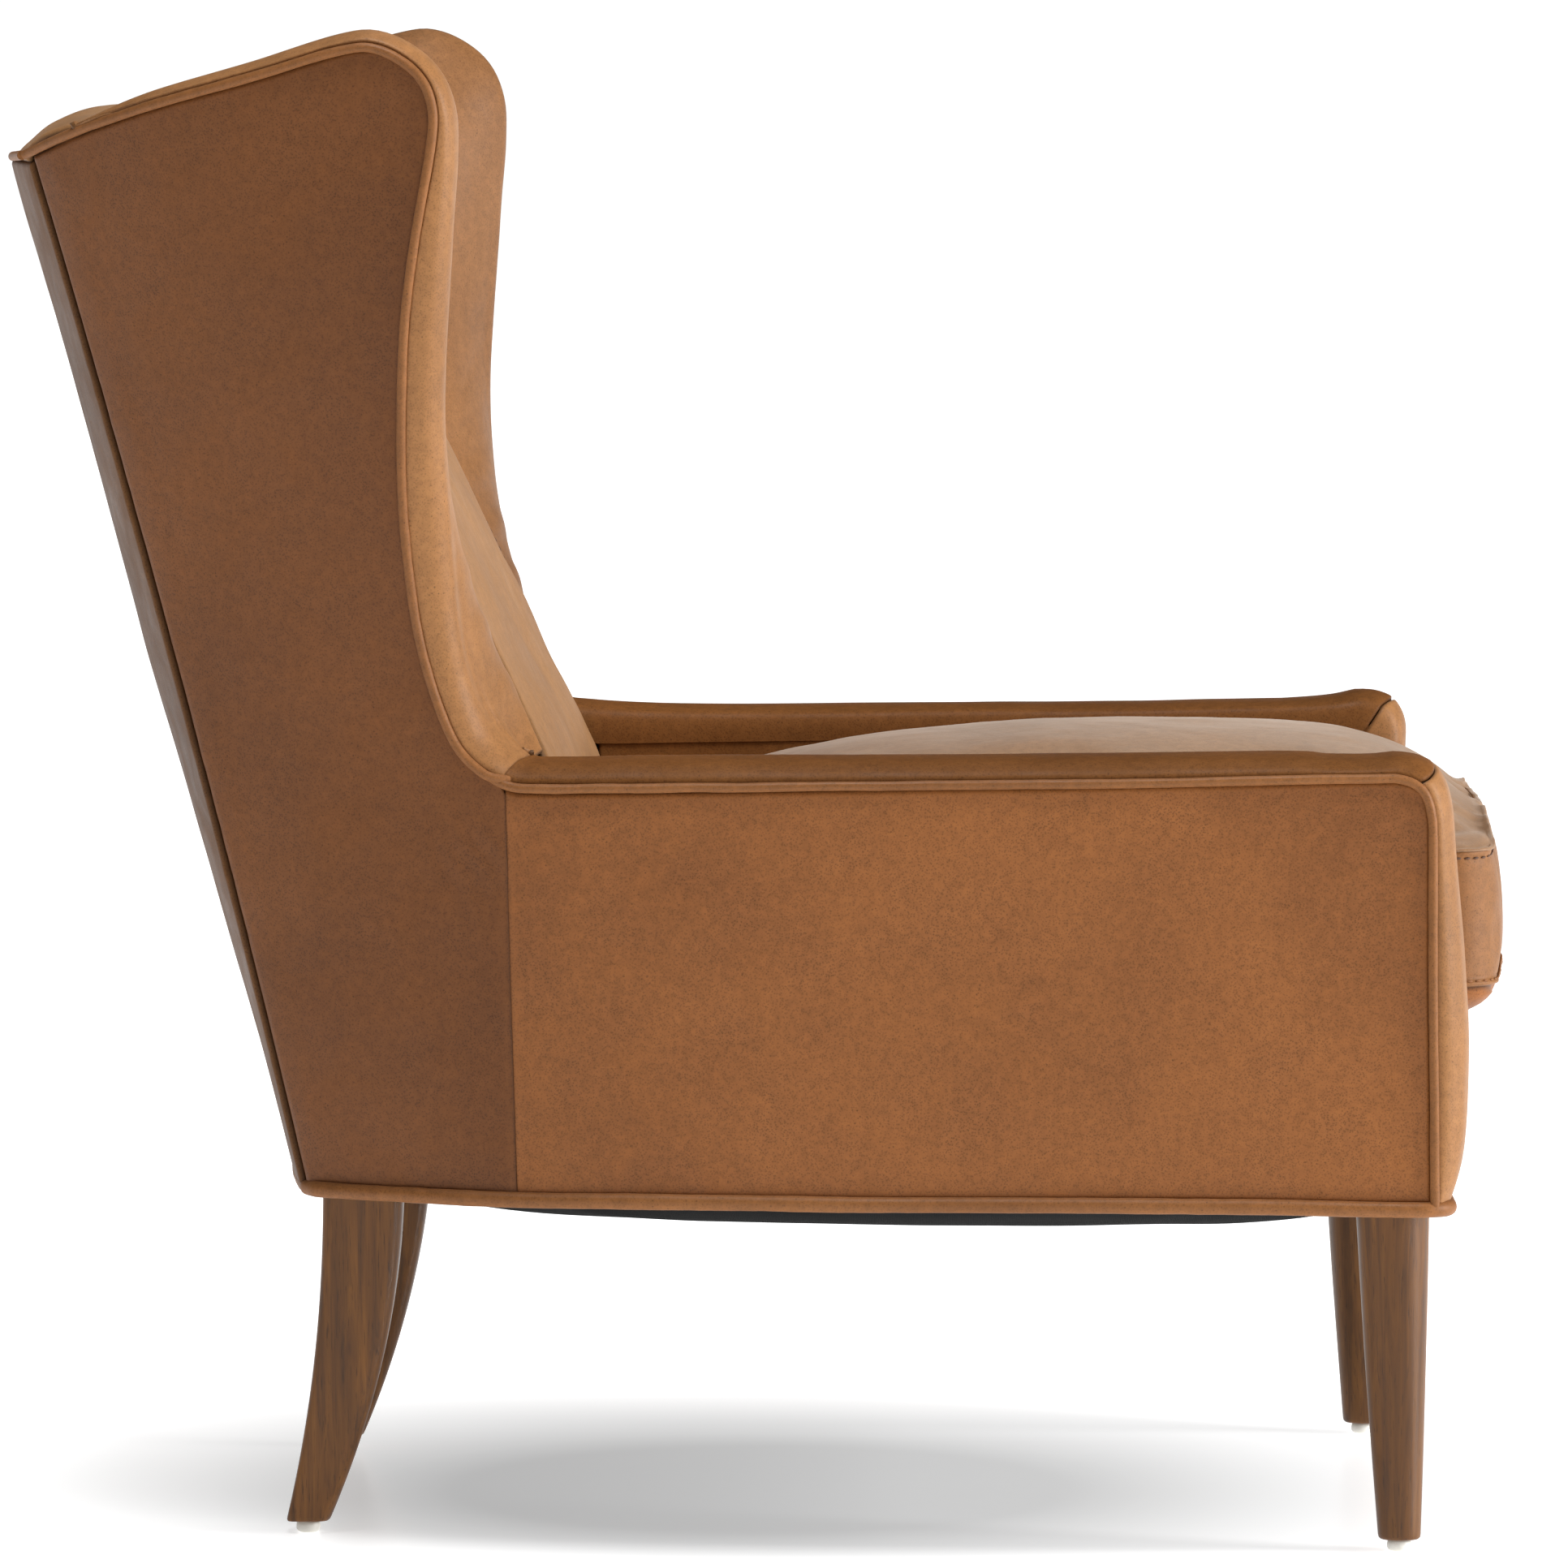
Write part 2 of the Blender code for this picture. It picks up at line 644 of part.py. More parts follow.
def hem_path():
    """The closed line of the hem welt around the foot of the body."""
    front_y = -0.4355
    corner = 0.020
    side = []
    steps = 24
    for step in range(steps + 1):
        y = lerp(front_y + corner, REAR_HEM_Y - 0.006, step / steps)
        side.append((half_width(y, HEM_Z) + 0.0015, y))
    wide = side[0][0]
    turn = []
    for step in range(1, 5):
        angle = math.radians(90.0 * step / 5)
        turn.append((wide - corner * (1.0 - math.sin(angle)),
                     front_y + corner * (1.0 - math.cos(angle))))
    front_count = 12
    front = [(lerp(-(wide - corner), wide - corner, step / front_count), front_y)
             for step in range(front_count + 1)]
    rear_count = 14
    rear_half = side[-1][0] - 0.006
    rear = []
    for step in range(rear_count + 1):
        u = 1.0 - 2.0 * step / rear_count
        bow = (BACK_CROWN_HEM - 0.001) * (1.0 - abs(u) ** 2.2)
        rear.append((u * rear_half, REAR_HEM_Y + 0.0005 + bow))
    left = [(x, y) for x, y in turn] + side
    right = [(-x, y) for x, y in reversed(left)]
    outline = front + left + rear + right
    return [(x, y, HEM_Z) for x, y in outline]


def hem_welt(name):
    tube(name, hem_path(), HEM_WELT_RADIUS, leather(name, LEATHER_LIGHT), 1, True)


def dust_cover(name):
    """The black cloth stapled under the rails; it sags in its middle."""
    half_rim = [(0.243, -0.412), (0.243, -0.374), (0.318, -0.370), (0.322, -0.100),
                (0.300, 0.120), (0.258, 0.200), (0.170, 0.212), (0.160, 0.262)]
    rim = half_rim + [(-x, y) for x, y in reversed(half_rim)]
    centre = (0.0, -0.120)
    levels = [1.0, 0.85, 0.65, 0.40, 0.15]
    sag = 0.036
    thick = 0.0016
    outline = []
    for a, b in zip(rim, rim[1:] + rim[:1]):
        outline.append(a)
        outline.append(((a[0] + b[0]) / 2, (a[1] + b[1]) / 2))
    faces_low, faces_high = [], []
    for level in levels:
        drop = sag * (1.0 - level ** 2) ** 1.2
        low, high = [], []
        for x, y in outline:
            place = (lerp(centre[0], x, level), lerp(centre[1], y, level))
            low.append((*place, 0.2215 - drop))
            high.append((*place, 0.2215 + thick - drop))
        faces_low.append(low)
        faces_high.append(high)
    material = make_material(name + "_cloth", (0.012, 0.012, 0.013), 0.9)
    loft(name, list(reversed(faces_low)) + faces_high, material)


# ---------------------------------------------------------------- loose cushion
def cushion_outline(inset=0.0, points=44):
    """The cushion's plan: straight sides, round corners, a bulging front."""
    half = CUSHION_HALF_X - inset
    front = CUSHION_FRONT_Y + inset
    rear = CUSHION_REAR_Y - inset
    radius = CUSHION_CORNER - inset
    centre = (front + rear) / 2.0
    length = (rear - front) / 2.0
    outline = []
    for step in range(points):
        angle = 2.0 * math.pi * (step + 0.5) / points
        dx, dy = math.cos(angle), math.sin(angle)
        reach = min(half / max(abs(dx), 1e-9), length / max(abs(dy), 1e-9))
        x, y = dx * reach, dy * reach
        corner_x, corner_y = half - radius, length - radius
        if abs(x) > corner_x and abs(y) > corner_y:
            from_corner = (abs(x) - corner_x, abs(y) - corner_y)
            scale = radius / math.hypot(*from_corner)
            x = math.copysign(corner_x + from_corner[0] * scale, x)
            y = math.copysign(corner_y + from_corner[1] * scale, y)
        if y < 0.0:
            y -= CUSHION_NOSE * (-y / length) ** 3 * (1.0 - (x / half) ** 2)
        outline.append((x, centre + y))
    return outline


def cushion_top_z(x, y, level, inset=0.0):
    """Height of the crowned top where level runs from 0, middle, to 1, edge."""
    rise = math.sqrt(max(1.0 - level ** 5, 0.0))
    fall = CUSHION_FALL * max(y + 0.25, 0.0) ** 2
    return BOXING_HIGH_Z + (CUSHION_CROWN - fall) * rise - inset


def cushion_foot_z(level, inset=0.0):
    return BOXING_LOW_Z - (BOXING_LOW_Z - CUSHION_FOOT_Z) * ease(2.6 * (1.0 - level)) + inset


def cushion_rings(levels, height, inset):
    """Loops that close in towards the middle of the cushion."""
    outline = cushion_outline(inset)
    loops = []
    for level in levels:
        loop = []
        for x, y in outline:
            px = x * level
            py = CUSHION_CENTRE_Y + (y - CUSHION_CENTRE_Y) * level
            loop.append((px, py, height(px, py, level)))
        loops.append(loop)
    return loops


def cushion_top_panel(name, lift):
    levels = [1.0, 0.985, 0.955, 0.90, 0.80, 0.62, 0.38, 0.12]
    outer = cushion_rings(levels, lambda x, y, k: cushion_top_z(x, y, k) + 0.0005, 0.0)
    inner = cushion_rings(levels, lambda x, y, k: cushion_top_z(x, y, k, CUSHION_SHELL)
                          + 0.0033 * k ** 12, CUSHION_SHELL)
    loft(name, list(reversed(outer)) + inner, leather(name, LEATHER_LIGHT), lift)


def cushion_bottom_panel(name, lift):
    levels = [1.0, 0.97, 0.92, 0.84, 0.72, 0.60, 0.30]
    outer = cushion_rings(levels, lambda x, y, k: cushion_foot_z(k) - 0.0003, 0.0)
    inner = cushion_rings(levels, lambda x, y, k: cushion_foot_z(k, CUSHION_SHELL)
                          - 0.0030 * k ** 12, CUSHION_SHELL)
    loft(name, list(reversed(outer)) + inner, leather(name), lift)


def cushion_boxing(name, lift):
    """The band between the two panels, a closed ring around the foam."""
    outer = cushion_outline(0.0)
    inner = cushion_outline(CUSHION_SHELL)
    low, high = BOXING_LOW_Z + FIT, BOXING_HIGH_Z - FIT
    loops = []
    for (ox, oy), (ix, iy) in zip(outer, inner):
        loops.append([(ox, oy, low), (ox, oy, high), (ix, iy, high), (ix, iy, low)])
    ring(name, loops, leather(name, LEATHER_LIGHT), lift)


def cushion_core(name, lift):
    """The foam that fills the cushion's cover."""
    inset = CUSHION_SHELL + 0.001
    levels = [0.97, 0.90, 0.80, 0.60, 0.30]
    top = cushion_rings(levels, lambda x, y, k: cushion_top_z(x, y, k, inset) - 0.0005, inset)
    foot = cushion_rings(levels, lambda x, y, k: cushion_foot_z(k, inset) + 0.0005, inset)
    waist = cushion_rings([1.0], lambda x, y, k: BOXING_HIGH_Z - 0.004, inset)
    heel = cushion_rings([1.0], lambda x, y, k: BOXING_LOW_Z + 0.004, inset)
    material = make_material(name + "_foam", (0.80, 0.74, 0.55), 0.95)
    loft(name, list(reversed(top)) + waist + heel + foot, material, lift)


def cushion_zip(name, lift):
    """The zip tape on the back of the boxing."""
    rear = CUSHION_REAR_Y
    board(name, (-0.170, rear + 0.0005, 0.3935), (0.170, rear + 0.0020, 0.4065),
          make_material(name + "_tape", (0.10, 0.055, 0.03), 0.6, 0.2), 0.0, lift)


def seat_cushion():
    lift = bpy.data.objects.new("cushion_lift", None)
    lift.location = (0.0, CUSHION_CENTRE_Y, CUSHION_FOOT_Z)
    bpy.context.scene.collection.objects.link(lift)
    cushion_core("cushion_core", lift)
    cushion_top_panel("cushion_top_panel", lift)
    cushion_bottom_panel("cushion_bottom_panel", lift)
    cushion_boxing("cushion_boxing", lift)
    cushion_zip("cushion_zip", lift)


# ------------------------------------------------------------------- the frame
def seat_rails():
    """The beech box that everything is screwed to."""
    front = board("front_seat_rail", (-0.316, -0.408, RAIL_Z), (0.316, -0.384, RAIL_TOP_Z),
                  timber("front_seat_rail"))
    for label, sign in sides():
        bore = bore_cutter("bore_" + label, sign * FRONT_LEG_X, FRONT_LEG_TOP_Y)
        cut = front.modifiers.new("bolt_hole_" + label, "BOOLEAN")
        cut.operation = "DIFFERENCE"
        cut.object = bore
    board("back_seat_rail", (-0.190, 0.232, RAIL_Z), (0.190, 0.257, RAIL_TOP_Z),
          timber("back_seat_rail"))
    for label, sign in sides():
        inner, outer = sign * 0.2570, sign * 0.2820
        low, high = min(inner, outer), max(inner, outer)
        name = "side_seat_rail_" + label
        board(name, (low, -0.3835, RAIL_Z), (high, 0.190, RAIL_TOP_Z), timber(name))


def bore_cutter(name, x, y):
    """A guide for the bolt hole; it isn't a piece of the chair."""
    cutter = lathe(name, [(0.0, 0.200), (BOLT_RADIUS + 0.0004, 0.200),
                          (BOLT_RADIUS + 0.0004, 0.300), (0.0, 0.300)], 12,
                   make_material(name, (0.8, 0.1, 0.1), 0.5), (x, y))
    cutter.hide_render = True
    cutter.display_type = "WIRE"
    return cutter


def corner_block(name, x_sign, y_rail, y_sign):
    """A triangular block glued in a corner of the seat frame."""
    x_rail = 0.2565
    reach = 0.055
    corner = (x_sign * x_rail, y_rail)
    plan = [corner, (x_sign * (x_rail - reach), y_rail), (x_sign * x_rail, y_rail + y_sign * reach)]
    loops = [[(x, y, z) for x, y in plan] for z in (RAIL_Z + 0.004, RAIL_TOP_Z - 0.006)]
    loft(name, loops, timber(name))


def raked_board(name, inner, outer, heights, front, rear, sign):
    """A board that follows the rake of the back between two heights."""
    loops = []
    for z in heights:
        y0, y1 = rear_edge(z) - front, rear_edge(z) - rear
        loops.append([(sign * inner, y0, z), (sign * outer, y0, z), (sign * outer, y1, z),
                      (sign * inner, y1, z)])
    loft(name, loops, timber(name))


def back_frame():
    for label, sign in sides():
        heights = [RAIL_Z, 0.40, 0.56, 0.72, 0.790]
        raked_board("back_post_" + label, 0.1925, 0.2280, heights, 0.060, 0.012, sign)
    low, high = 0.792, 0.862
    crest = [(-0.228, rear_edge(low) - 0.055, low), (-0.228, rear_edge(low) - 0.020, low),
             (-0.228, rear_edge(high) - 0.020, high), (-0.228, rear_edge(high) - 0.055, high)]
    loft("crest_rail", [crest, [(-x, y, z) for x, y, z in crest]], timber("crest_rail"))
    low, high = 0.345, 0.400
    stay = [(-0.190, rear_edge(low) - 0.045, low), (-0.190, rear_edge(low) - 0.020, low),
            (-0.190, rear_edge(high) - 0.020, high), (-0.190, rear_edge(high) - 0.045, high)]
    loft("lower_back_rail", [stay, [(-x, y, z) for x, y, z in stay]], timber("lower_back_rail"))


def wing_board(name, sign):
    """The curved plywood that carries a wing and its two covers."""
    inner_edge = shifted_edge(-0.014)
    heights = [0.505, 0.530, 0.560, 0.600, 0.650, 0.700, 0.750, 0.800, 0.840, 0.866]
    columns = 5
    outer, inner = [], []
    crest = max(range(len(inner_edge)), key=lambda index: inner_edge[index][1])
    for z in heights:
        front = crossing(inner_edge, z, 1, ARM_EDGE_END + 2, crest)
        rear = rear_edge(z) - 0.030
        line = [lerp(front, rear, column / columns) for column in range(columns + 1)]
        outer.append([side_point(y, z, 0.0065, sign) for y in line])
        inner.append([side_point(y, z, 0.0175, sign) for y in line])
    slab(name, outer, inner, timber(name))


def arm_frame():
    for label, sign in sides():
        inner, outer = sign * 0.2860, sign * 0.3150
        low, high = min(inner, outer), max(inner, outer)
        post = "arm_post_" + label
        board(post, (low, -0.4180, RAIL_TOP_Z + 0.001), (high, -0.3800, 0.4700), timber(post))
        rail = "arm_rail_" + label
        board(rail, (low, -0.3790, 0.4480), (high, 0.1250, 0.4700), timber(rail))


def seat_springs():
    """Sinuous steel springs from the front rail to the back rail."""
    waves = 9
    swing = 0.022
    for index in range(4):
        x = -0.165 + 0.110 * index
        path = []
        steps = waves * 6
        for step in range(steps + 1):
            t = step / steps
            y = lerp(-0.392, 0.248, t)
            path.append((x + swing * math.sin(2.0 * math.pi * waves * t), y, 0.2945))
        name = "seat_spring_%d" % (index + 1)
        tube(name, path, 0.0019, steel(name), 0)


def back_webbing():
    """Two straps across the back posts behind the pad."""
    for index, z in enumerate((0.520, 0.660)):
        name = "back_webbing_%d" % (index + 1)
        y = rear_edge(z) - 0.0640
        lean = REAR_LEAN * 0.025
        section = [(-0.225, y - lean, z - 0.025), (-0.225, y - lean + 0.002, z - 0.025),
                   (-0.225, y + lean + 0.002, z + 0.025), (-0.225, y + lean, z + 0.025)]
        loft(name, [section, [(-x, sy, sz) for x, sy, sz in section]],
             make_material(name + "_jute", (0.33, 0.24, 0.14), 0.95))


def deck_pad(name):
    """The covered felt platform over the springs."""
    board(name, (-0.2665, -0.4255, 0.3000), (0.2665, 0.0920, DECK_TOP_Z),
          make_material(name + "_cloth", (0.16, 0.09, 0.05), 0.9), 0.003)


# ------------------------------------------------------------------------- legs
def front_leg(name, sign):
    """A turned, tapered leg with a bore for its hanger bolt."""
    lean = (FRONT_LEG_TOP_Y - FRONT_LEG_FOOT_Y) / (LEG_TOP_Z - LEG_FOOT_Z)
    bore = BOLT_RADIUS + 0.0004
    profile = [(0.0, LEG_FOOT_Z), (FRONT_LEG_FOOT_R - 0.0012, LEG_FOOT_Z),
               (FRONT_LEG_FOOT_R, LEG_FOOT_Z + 0.0012)]
    for t in (0.25, 0.5, 0.75):
        radius = lerp(FRONT_LEG_FOOT_R, FRONT_LEG_TOP_R, t) + 0.0006 * math.sin(math.pi * t)
        profile.append((radius, lerp(LEG_FOOT_Z, LEG_TOP_Z, t)))
    profile += [(FRONT_LEG_TOP_R, LEG_TOP_Z - 0.001), (FRONT_LEG_TOP_R - 0.001, LEG_TOP_Z)]
    profile += [(bore + 0.001, LEG_TOP_Z), (bore + 0.001, LEG_TOP_Z - 0.045)]
    profile += [(0.0, LEG_TOP_Z - 0.045)]
    lathe(name, profile, 28, walnut(name), (sign * FRONT_LEG_X, FRONT_LEG_FOOT_Y), lean)


def leg_bolt(name, sign):
    """The hanger bolt that ties a front leg to the rail."""
    profile = [(0.0, 0.1860), (BOLT_RADIUS - 0.001, 0.1860), (BOLT_RADIUS, 0.1870),
               (BOLT_RADIUS, 0.2870), (0.0, 0.2870)]
    lathe(name, profile, 12, steel(name), (sign * FRONT_LEG_X, FRONT_LEG_TOP_Y))


def back_leg(name, sign):
    """A square sabre leg that sweeps rearward to the floor."""
    loops = []
    steps = 10
    for step in range(steps + 1):
        drop = step / steps
        z = lerp(LEG_TOP_Z, LEG_FOOT_Z, drop)
        rear = BACK_LEG_REAR_Y + 0.0245 * drop ** 2.2
        front = BACK_LEG_FRONT_Y + 0.0480 * drop ** 2.0
        half = lerp(0.0200, 0.0130, drop)
        arris = lerp(0.0060, 0.0040, drop)
        plan = [(-half + arris, front), (half - arris, front), (half, front + arris),
                (half, rear - arris), (half - arris, rear), (-half + arris, rear),
                (-half, rear - arris), (-half, front + arris)]
        loops.append([(sign * BACK_LEG_X + x, y, z) for x, y in plan])
    loft(name, loops, walnut(name))


def glide(name, x, y):
    """A nylon nail-on glide with a flat foot."""
    profile = [(0.0, 0.0), (0.0050, 0.0), (0.0070, 0.0010), (GLIDE_RADIUS, 0.0030),
               (GLIDE_RADIUS, 0.0078), (0.0, 0.0078)]
    lathe(name, profile, 16, make_material(name + "_nylon", (0.86, 0.85, 0.80), 0.45), (x, y))


def legs():
    back_foot_y = 0.2858
    for label, sign in sides():
        front_leg("front_leg_" + label, sign)
        leg_bolt("leg_bolt_" + label, sign)
        back_leg("back_leg_" + label, sign)
        glide("front_glide_" + label, sign * FRONT_LEG_X, FRONT_LEG_FOOT_Y)
        glide("back_glide_" + label, sign * BACK_LEG_X, back_foot_y)


# ------------------------------------------------------------------- the chair
def covers():
    for label, sign in sides():
        outside_arm_panel("outside_arm_panel_" + label, sign)
        outside_wing_panel("outside_wing_panel_" + label, sign)
        side_welt("side_welt_" + label, sign)
        arm_front_facing("arm_front_facing_" + label, sign)
        arm_pad("arm_pad_" + label, sign)
        inside_arm_panel("inside_arm_panel_" + label, sign)
        wing_pad("wing_pad_" + label, sign)
    inside_back_pad("inside_back_pad")
    outside_back_panel("outside_back_panel")
    back_welt("back_welt")
    front_rail_cover("front_rail_cover")
    hem_welt("hem_welt")
    dust_cover("dust_cover")


def frame():
    seat_rails()
    for label, sign in sides():
        corner_block("front_corner_block_" + label, sign, -0.3832, 1.0)
        corner_block("back_corner_block_" + label, sign, 0.1895, -1.0)
        wing_board("wing_board_" + label, sign)
    back_frame()
    arm_frame()
    seat_springs()
    back_webbing()
    deck_pad("deck_pad")


def main():
    for obj in list(bpy.data.objects):
        bpy.data.objects.remove(obj, do_unlink=True)
    frame()
    covers()
    seat_cushion()
    legs()


main()
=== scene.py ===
# %% [markdown]
# # A leather wing armchair, piece by piece
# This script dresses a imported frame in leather, welts, stitches, wood and cloth. It is
# written as a lesson: each step first says what the piece is on a real chair, how it could
# be made in Blender, and why this way was chosen. Sizes are metres, +Z is up, the chair
# faces -Y, and the sitter's left is +X.

# %% Open the frame
import math

import bpy
import numpy as np
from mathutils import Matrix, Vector
from mathutils.bvhtree import BVHTree


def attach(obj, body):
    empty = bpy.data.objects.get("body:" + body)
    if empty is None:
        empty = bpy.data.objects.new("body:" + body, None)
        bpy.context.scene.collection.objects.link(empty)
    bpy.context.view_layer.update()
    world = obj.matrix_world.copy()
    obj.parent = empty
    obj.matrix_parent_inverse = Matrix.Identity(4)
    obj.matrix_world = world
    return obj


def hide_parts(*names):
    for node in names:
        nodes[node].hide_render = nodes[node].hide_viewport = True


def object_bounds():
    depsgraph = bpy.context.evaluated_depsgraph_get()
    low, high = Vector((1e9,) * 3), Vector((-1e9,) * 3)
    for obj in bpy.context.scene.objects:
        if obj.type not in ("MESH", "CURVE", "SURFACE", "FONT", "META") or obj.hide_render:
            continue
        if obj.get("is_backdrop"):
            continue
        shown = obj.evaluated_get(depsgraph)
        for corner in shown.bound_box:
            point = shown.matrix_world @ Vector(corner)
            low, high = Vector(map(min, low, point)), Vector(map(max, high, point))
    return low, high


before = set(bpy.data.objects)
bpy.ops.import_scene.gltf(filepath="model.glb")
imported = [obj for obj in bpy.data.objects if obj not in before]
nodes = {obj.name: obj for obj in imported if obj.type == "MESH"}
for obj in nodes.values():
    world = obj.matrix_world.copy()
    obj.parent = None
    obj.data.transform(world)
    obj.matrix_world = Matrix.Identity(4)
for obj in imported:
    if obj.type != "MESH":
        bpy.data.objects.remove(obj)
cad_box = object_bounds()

CHAIR, CUSHION = "chair_frame", "seat_cushion"
SIDES = (("left", 1.0), ("right", -1.0))

# %% [markdown]
# ## The body's shape
# Every cover of the real chair is pulled over one wooden frame, so all of them share its
# shape. It could be sculpted once and cut up, but a few short rules do it better: how far
# back the rear corner is at each height, and how wide the chair is at each place on its
# side. Each cover then reads the same rules, and neighbours meet by themselves.

# %% Rules of the body
HEM_Z = 0.226
WING_START_Z, WING_RISE = 0.48, 0.37
ARM_SPREAD, WING_SPREAD, SPREAD_RUN = 0.095, 0.044, 0.12
ARM_INNER_X = 0.2685


def mix(a, b, t):
    return a + (b - a) * t


def ease(t):
    t = np.clip(t, 0.0, 1.0)
    return t * t * (3.0 - 2.0 * t)


def rear_edge(z):
    """Where the side and the back meet, as y at height z."""
    rise = z - 0.225
    return 0.287 + 0.225 * rise + 0.05 * rise * rise


def corner_half(z):
    return mix(0.242, 0.270, (z - HEM_Z) / (0.900 - HEM_Z))


def half_width(y, z):
    """Half the chair's width at a place on its side."""
    forward = np.maximum(rear_edge(z) - y, 0.0)
    spread = ARM_SPREAD + WING_SPREAD * ease((z - WING_START_Z) / WING_RISE)
    return corner_half(z) + spread * (1.0 - np.exp(-forward / SPREAD_RUN))


def back_crown(z):
    """How far the middle of the outside back bows rearward."""
    return mix(0.020, 0.034, ease((z - HEM_Z) / 0.35))


def hem_z(y):
    """The hem sags a little towards the front."""
    return HEM_Z - 0.0028 * ease((-0.26 - y) / 0.16)


print("width at the arm front: %.3f m" % (2 * half_width(-0.42, 0.35)))

# %% [markdown]
# ## The line where side and pads meet
# One welt runs up the arm front, back along the arm, up the wing and over it. Seen from the
# side it is a smooth curve through a few measured points, so a Catmull-Rom curve is enough.
# Everything else is placed by its distance along this line.

# %% Curves and places on them
ARM_FRONT = [(-0.4262, 0.2220), (-0.426, 0.233), (-0.425, 0.300), (-0.424, 0.372),
             (-0.4235, 0.448)]
ARM_CORNER = [(-0.4225, 0.471), (-0.417, 0.4865), (-0.404, 0.4935)]
ARM_TOP = [(-0.380, 0.4940), (-0.240, 0.4910), (-0.088, 0.4890), (0.060, 0.4870),
           (0.128, 0.4862)]
WING_FRONT = [(0.155, 0.4885), (0.179, 0.505), (0.193, 0.531), (0.206, 0.575),
              (0.214, 0.630), (0.217, 0.690), (0.214, 0.770), (0.207, 0.827), (0.197, 0.882)]
WING_TOP = [(0.1955, 0.910), (0.205, 0.931), (0.228, 0.9455), (0.252, 0.9450),
            (0.306, 0.929), (0.372, 0.911), (0.420, 0.895), (0.458, 0.879)]


def smooth(points, per_span=14):
    """A curve through points, as closely spaced points."""
    p = np.array(points, float)
    p = np.vstack([p[:1], p, p[-1:]])
    t = (np.arange(per_span) / per_span)[:, None]
    spans = [0.5 * (2 * b + (c - a) * t + (2 * a - 5 * b + 4 * c - d) * t ** 2
                    + (3 * b - a - 3 * c + d) * t ** 3)
             for a, b, c, d in zip(p, p[1:], p[2:], p[3:])]
    return np.vstack(spans + [p[-1:]])


def run_of(path):
    """Distance along a path at each of its points."""
    return np.concatenate([[0.0], np.cumsum(np.linalg.norm(np.diff(path, axis=0), axis=1))])


def place_on(path, distance):
    run = run_of(path)
    return np.stack([np.interp(distance, run, path[:, k]) for k in range(path.shape[1])], -1)


def heading_on(path, distance, reach=0.004):
    run = run_of(path)[-1]
    ahead = place_on(path, np.minimum(distance + reach, run))
    behind = place_on(path, np.maximum(distance - reach, 0.0))
    step = ahead - behind
    return step / np.linalg.norm(step, axis=-1, keepdims=True)


def side_normal(heading):
    """Seen from the side, the direction that points away from the side covers."""
    return np.stack([-heading[..., 1], heading[..., 0]], -1)


def distance_at(path, place):
    """How far along a path its point nearest to a place is."""
    return run_of(path)[np.argmin(np.linalg.norm(path - np.array(place), axis=1))]


EDGE = smooth(ARM_FRONT + ARM_CORNER + ARM_TOP + WING_FRONT + WING_TOP)
AT_CORNER = distance_at(EDGE, (-0.4178, 0.4850))
AT_JOIN = distance_at(EDGE, (0.155, 0.4885))
AT_PEAK = distance_at(EDGE, (0.2150, 0.9390))
AT_END = run_of(EDGE)[-1]
print("welt line: %.3f m, arm joins the wing at %.3f m" % (AT_END, AT_JOIN))

# %% [markdown]
# ## From a grid of points to a cover
# A leather cover is a thin sheet whose edges turn in under the welts and seams. Solidify and
# a bevel could do that on a flat cut, but here the sheets are curved and their edges matter
# most. So each cover starts as a grid of points, packed closer near its edges. Three things
# are then worked out on the grid: a rolled edge, soft pads and waves, and short pull lines
# that run square to each seam. A float attribute keeps how near each point is to a seam,
# which the leather reads for painted shade in the seam creases and for worn edges.

# %% Noise, spacing and grids
def cloud(points, size, seed=0):
    """Smooth seeded values from -1 to 1 that change over about size metres."""
    q = points / np.array(size) + seed * 19.37
    cell = np.floor(q).astype(np.int64)
    f = q - cell
    f = f * f * (3.0 - 2.0 * f)
    total = 0.0
    for corner in range(8):
        step = np.array([corner & 1, corner >> 1 & 1, corner >> 2 & 1])
        c = cell + step
        h = c[..., 0] * 73856093 ^ c[..., 1] * 19349663 ^ c[..., 2] * 83492791
        h = (h ^ (h >> 13)) * 1274126177
        h = (h ^ (h >> 16)) & 0xFFFFF
        weight = np.prod(np.where(step, f, 1.0 - f), axis=-1)
        total = total + weight * (h / 0xFFFFF * 2.0 - 1.0)
    return total


def spaced(length, coarse=0.0045, fine=0.0007, reach=0.016):
    """Shares from 0 to 1 with fine steps near both ends."""
    marks, d = [0.0], 0.0
    while d < length / 2:
        d += mix(fine, coarse, float(ease(d / reach)))
        marks.append(d)
    marks = np.array(marks) * (length / 2 / marks[-1])
    return np.concatenate([marks, length - marks[-2::-1]]) / length


def curved_patch(bottom, top, first, last, us, vs):
    """A grid between four border curves (a Coons patch); rows run up, columns across."""
    def at(curve, shares):
        return place_on(curve, shares * run_of(curve)[-1])
    b, t, l, r = at(bottom, us), at(top, us), at(first, vs), at(last, vs)
    u, v = us[None, :, None], vs[:, None, None]
    ruled = (1 - v) * b[None] + v * t[None] + (1 - u) * l[:, None] + u * r[:, None]
    corners = ((1 - u) * (1 - v) * b[0] + u * (1 - v) * b[-1]
               + (1 - u) * v * t[0] + u * v * t[-1])
    return ruled - corners


def normals_of(grid):
    across = np.gradient(grid, axis=1)
    up = np.gradient(grid, axis=0)
    n = np.cross(across, up)
    return n / np.maximum(np.linalg.norm(n, axis=-1, keepdims=True), 1e-12)


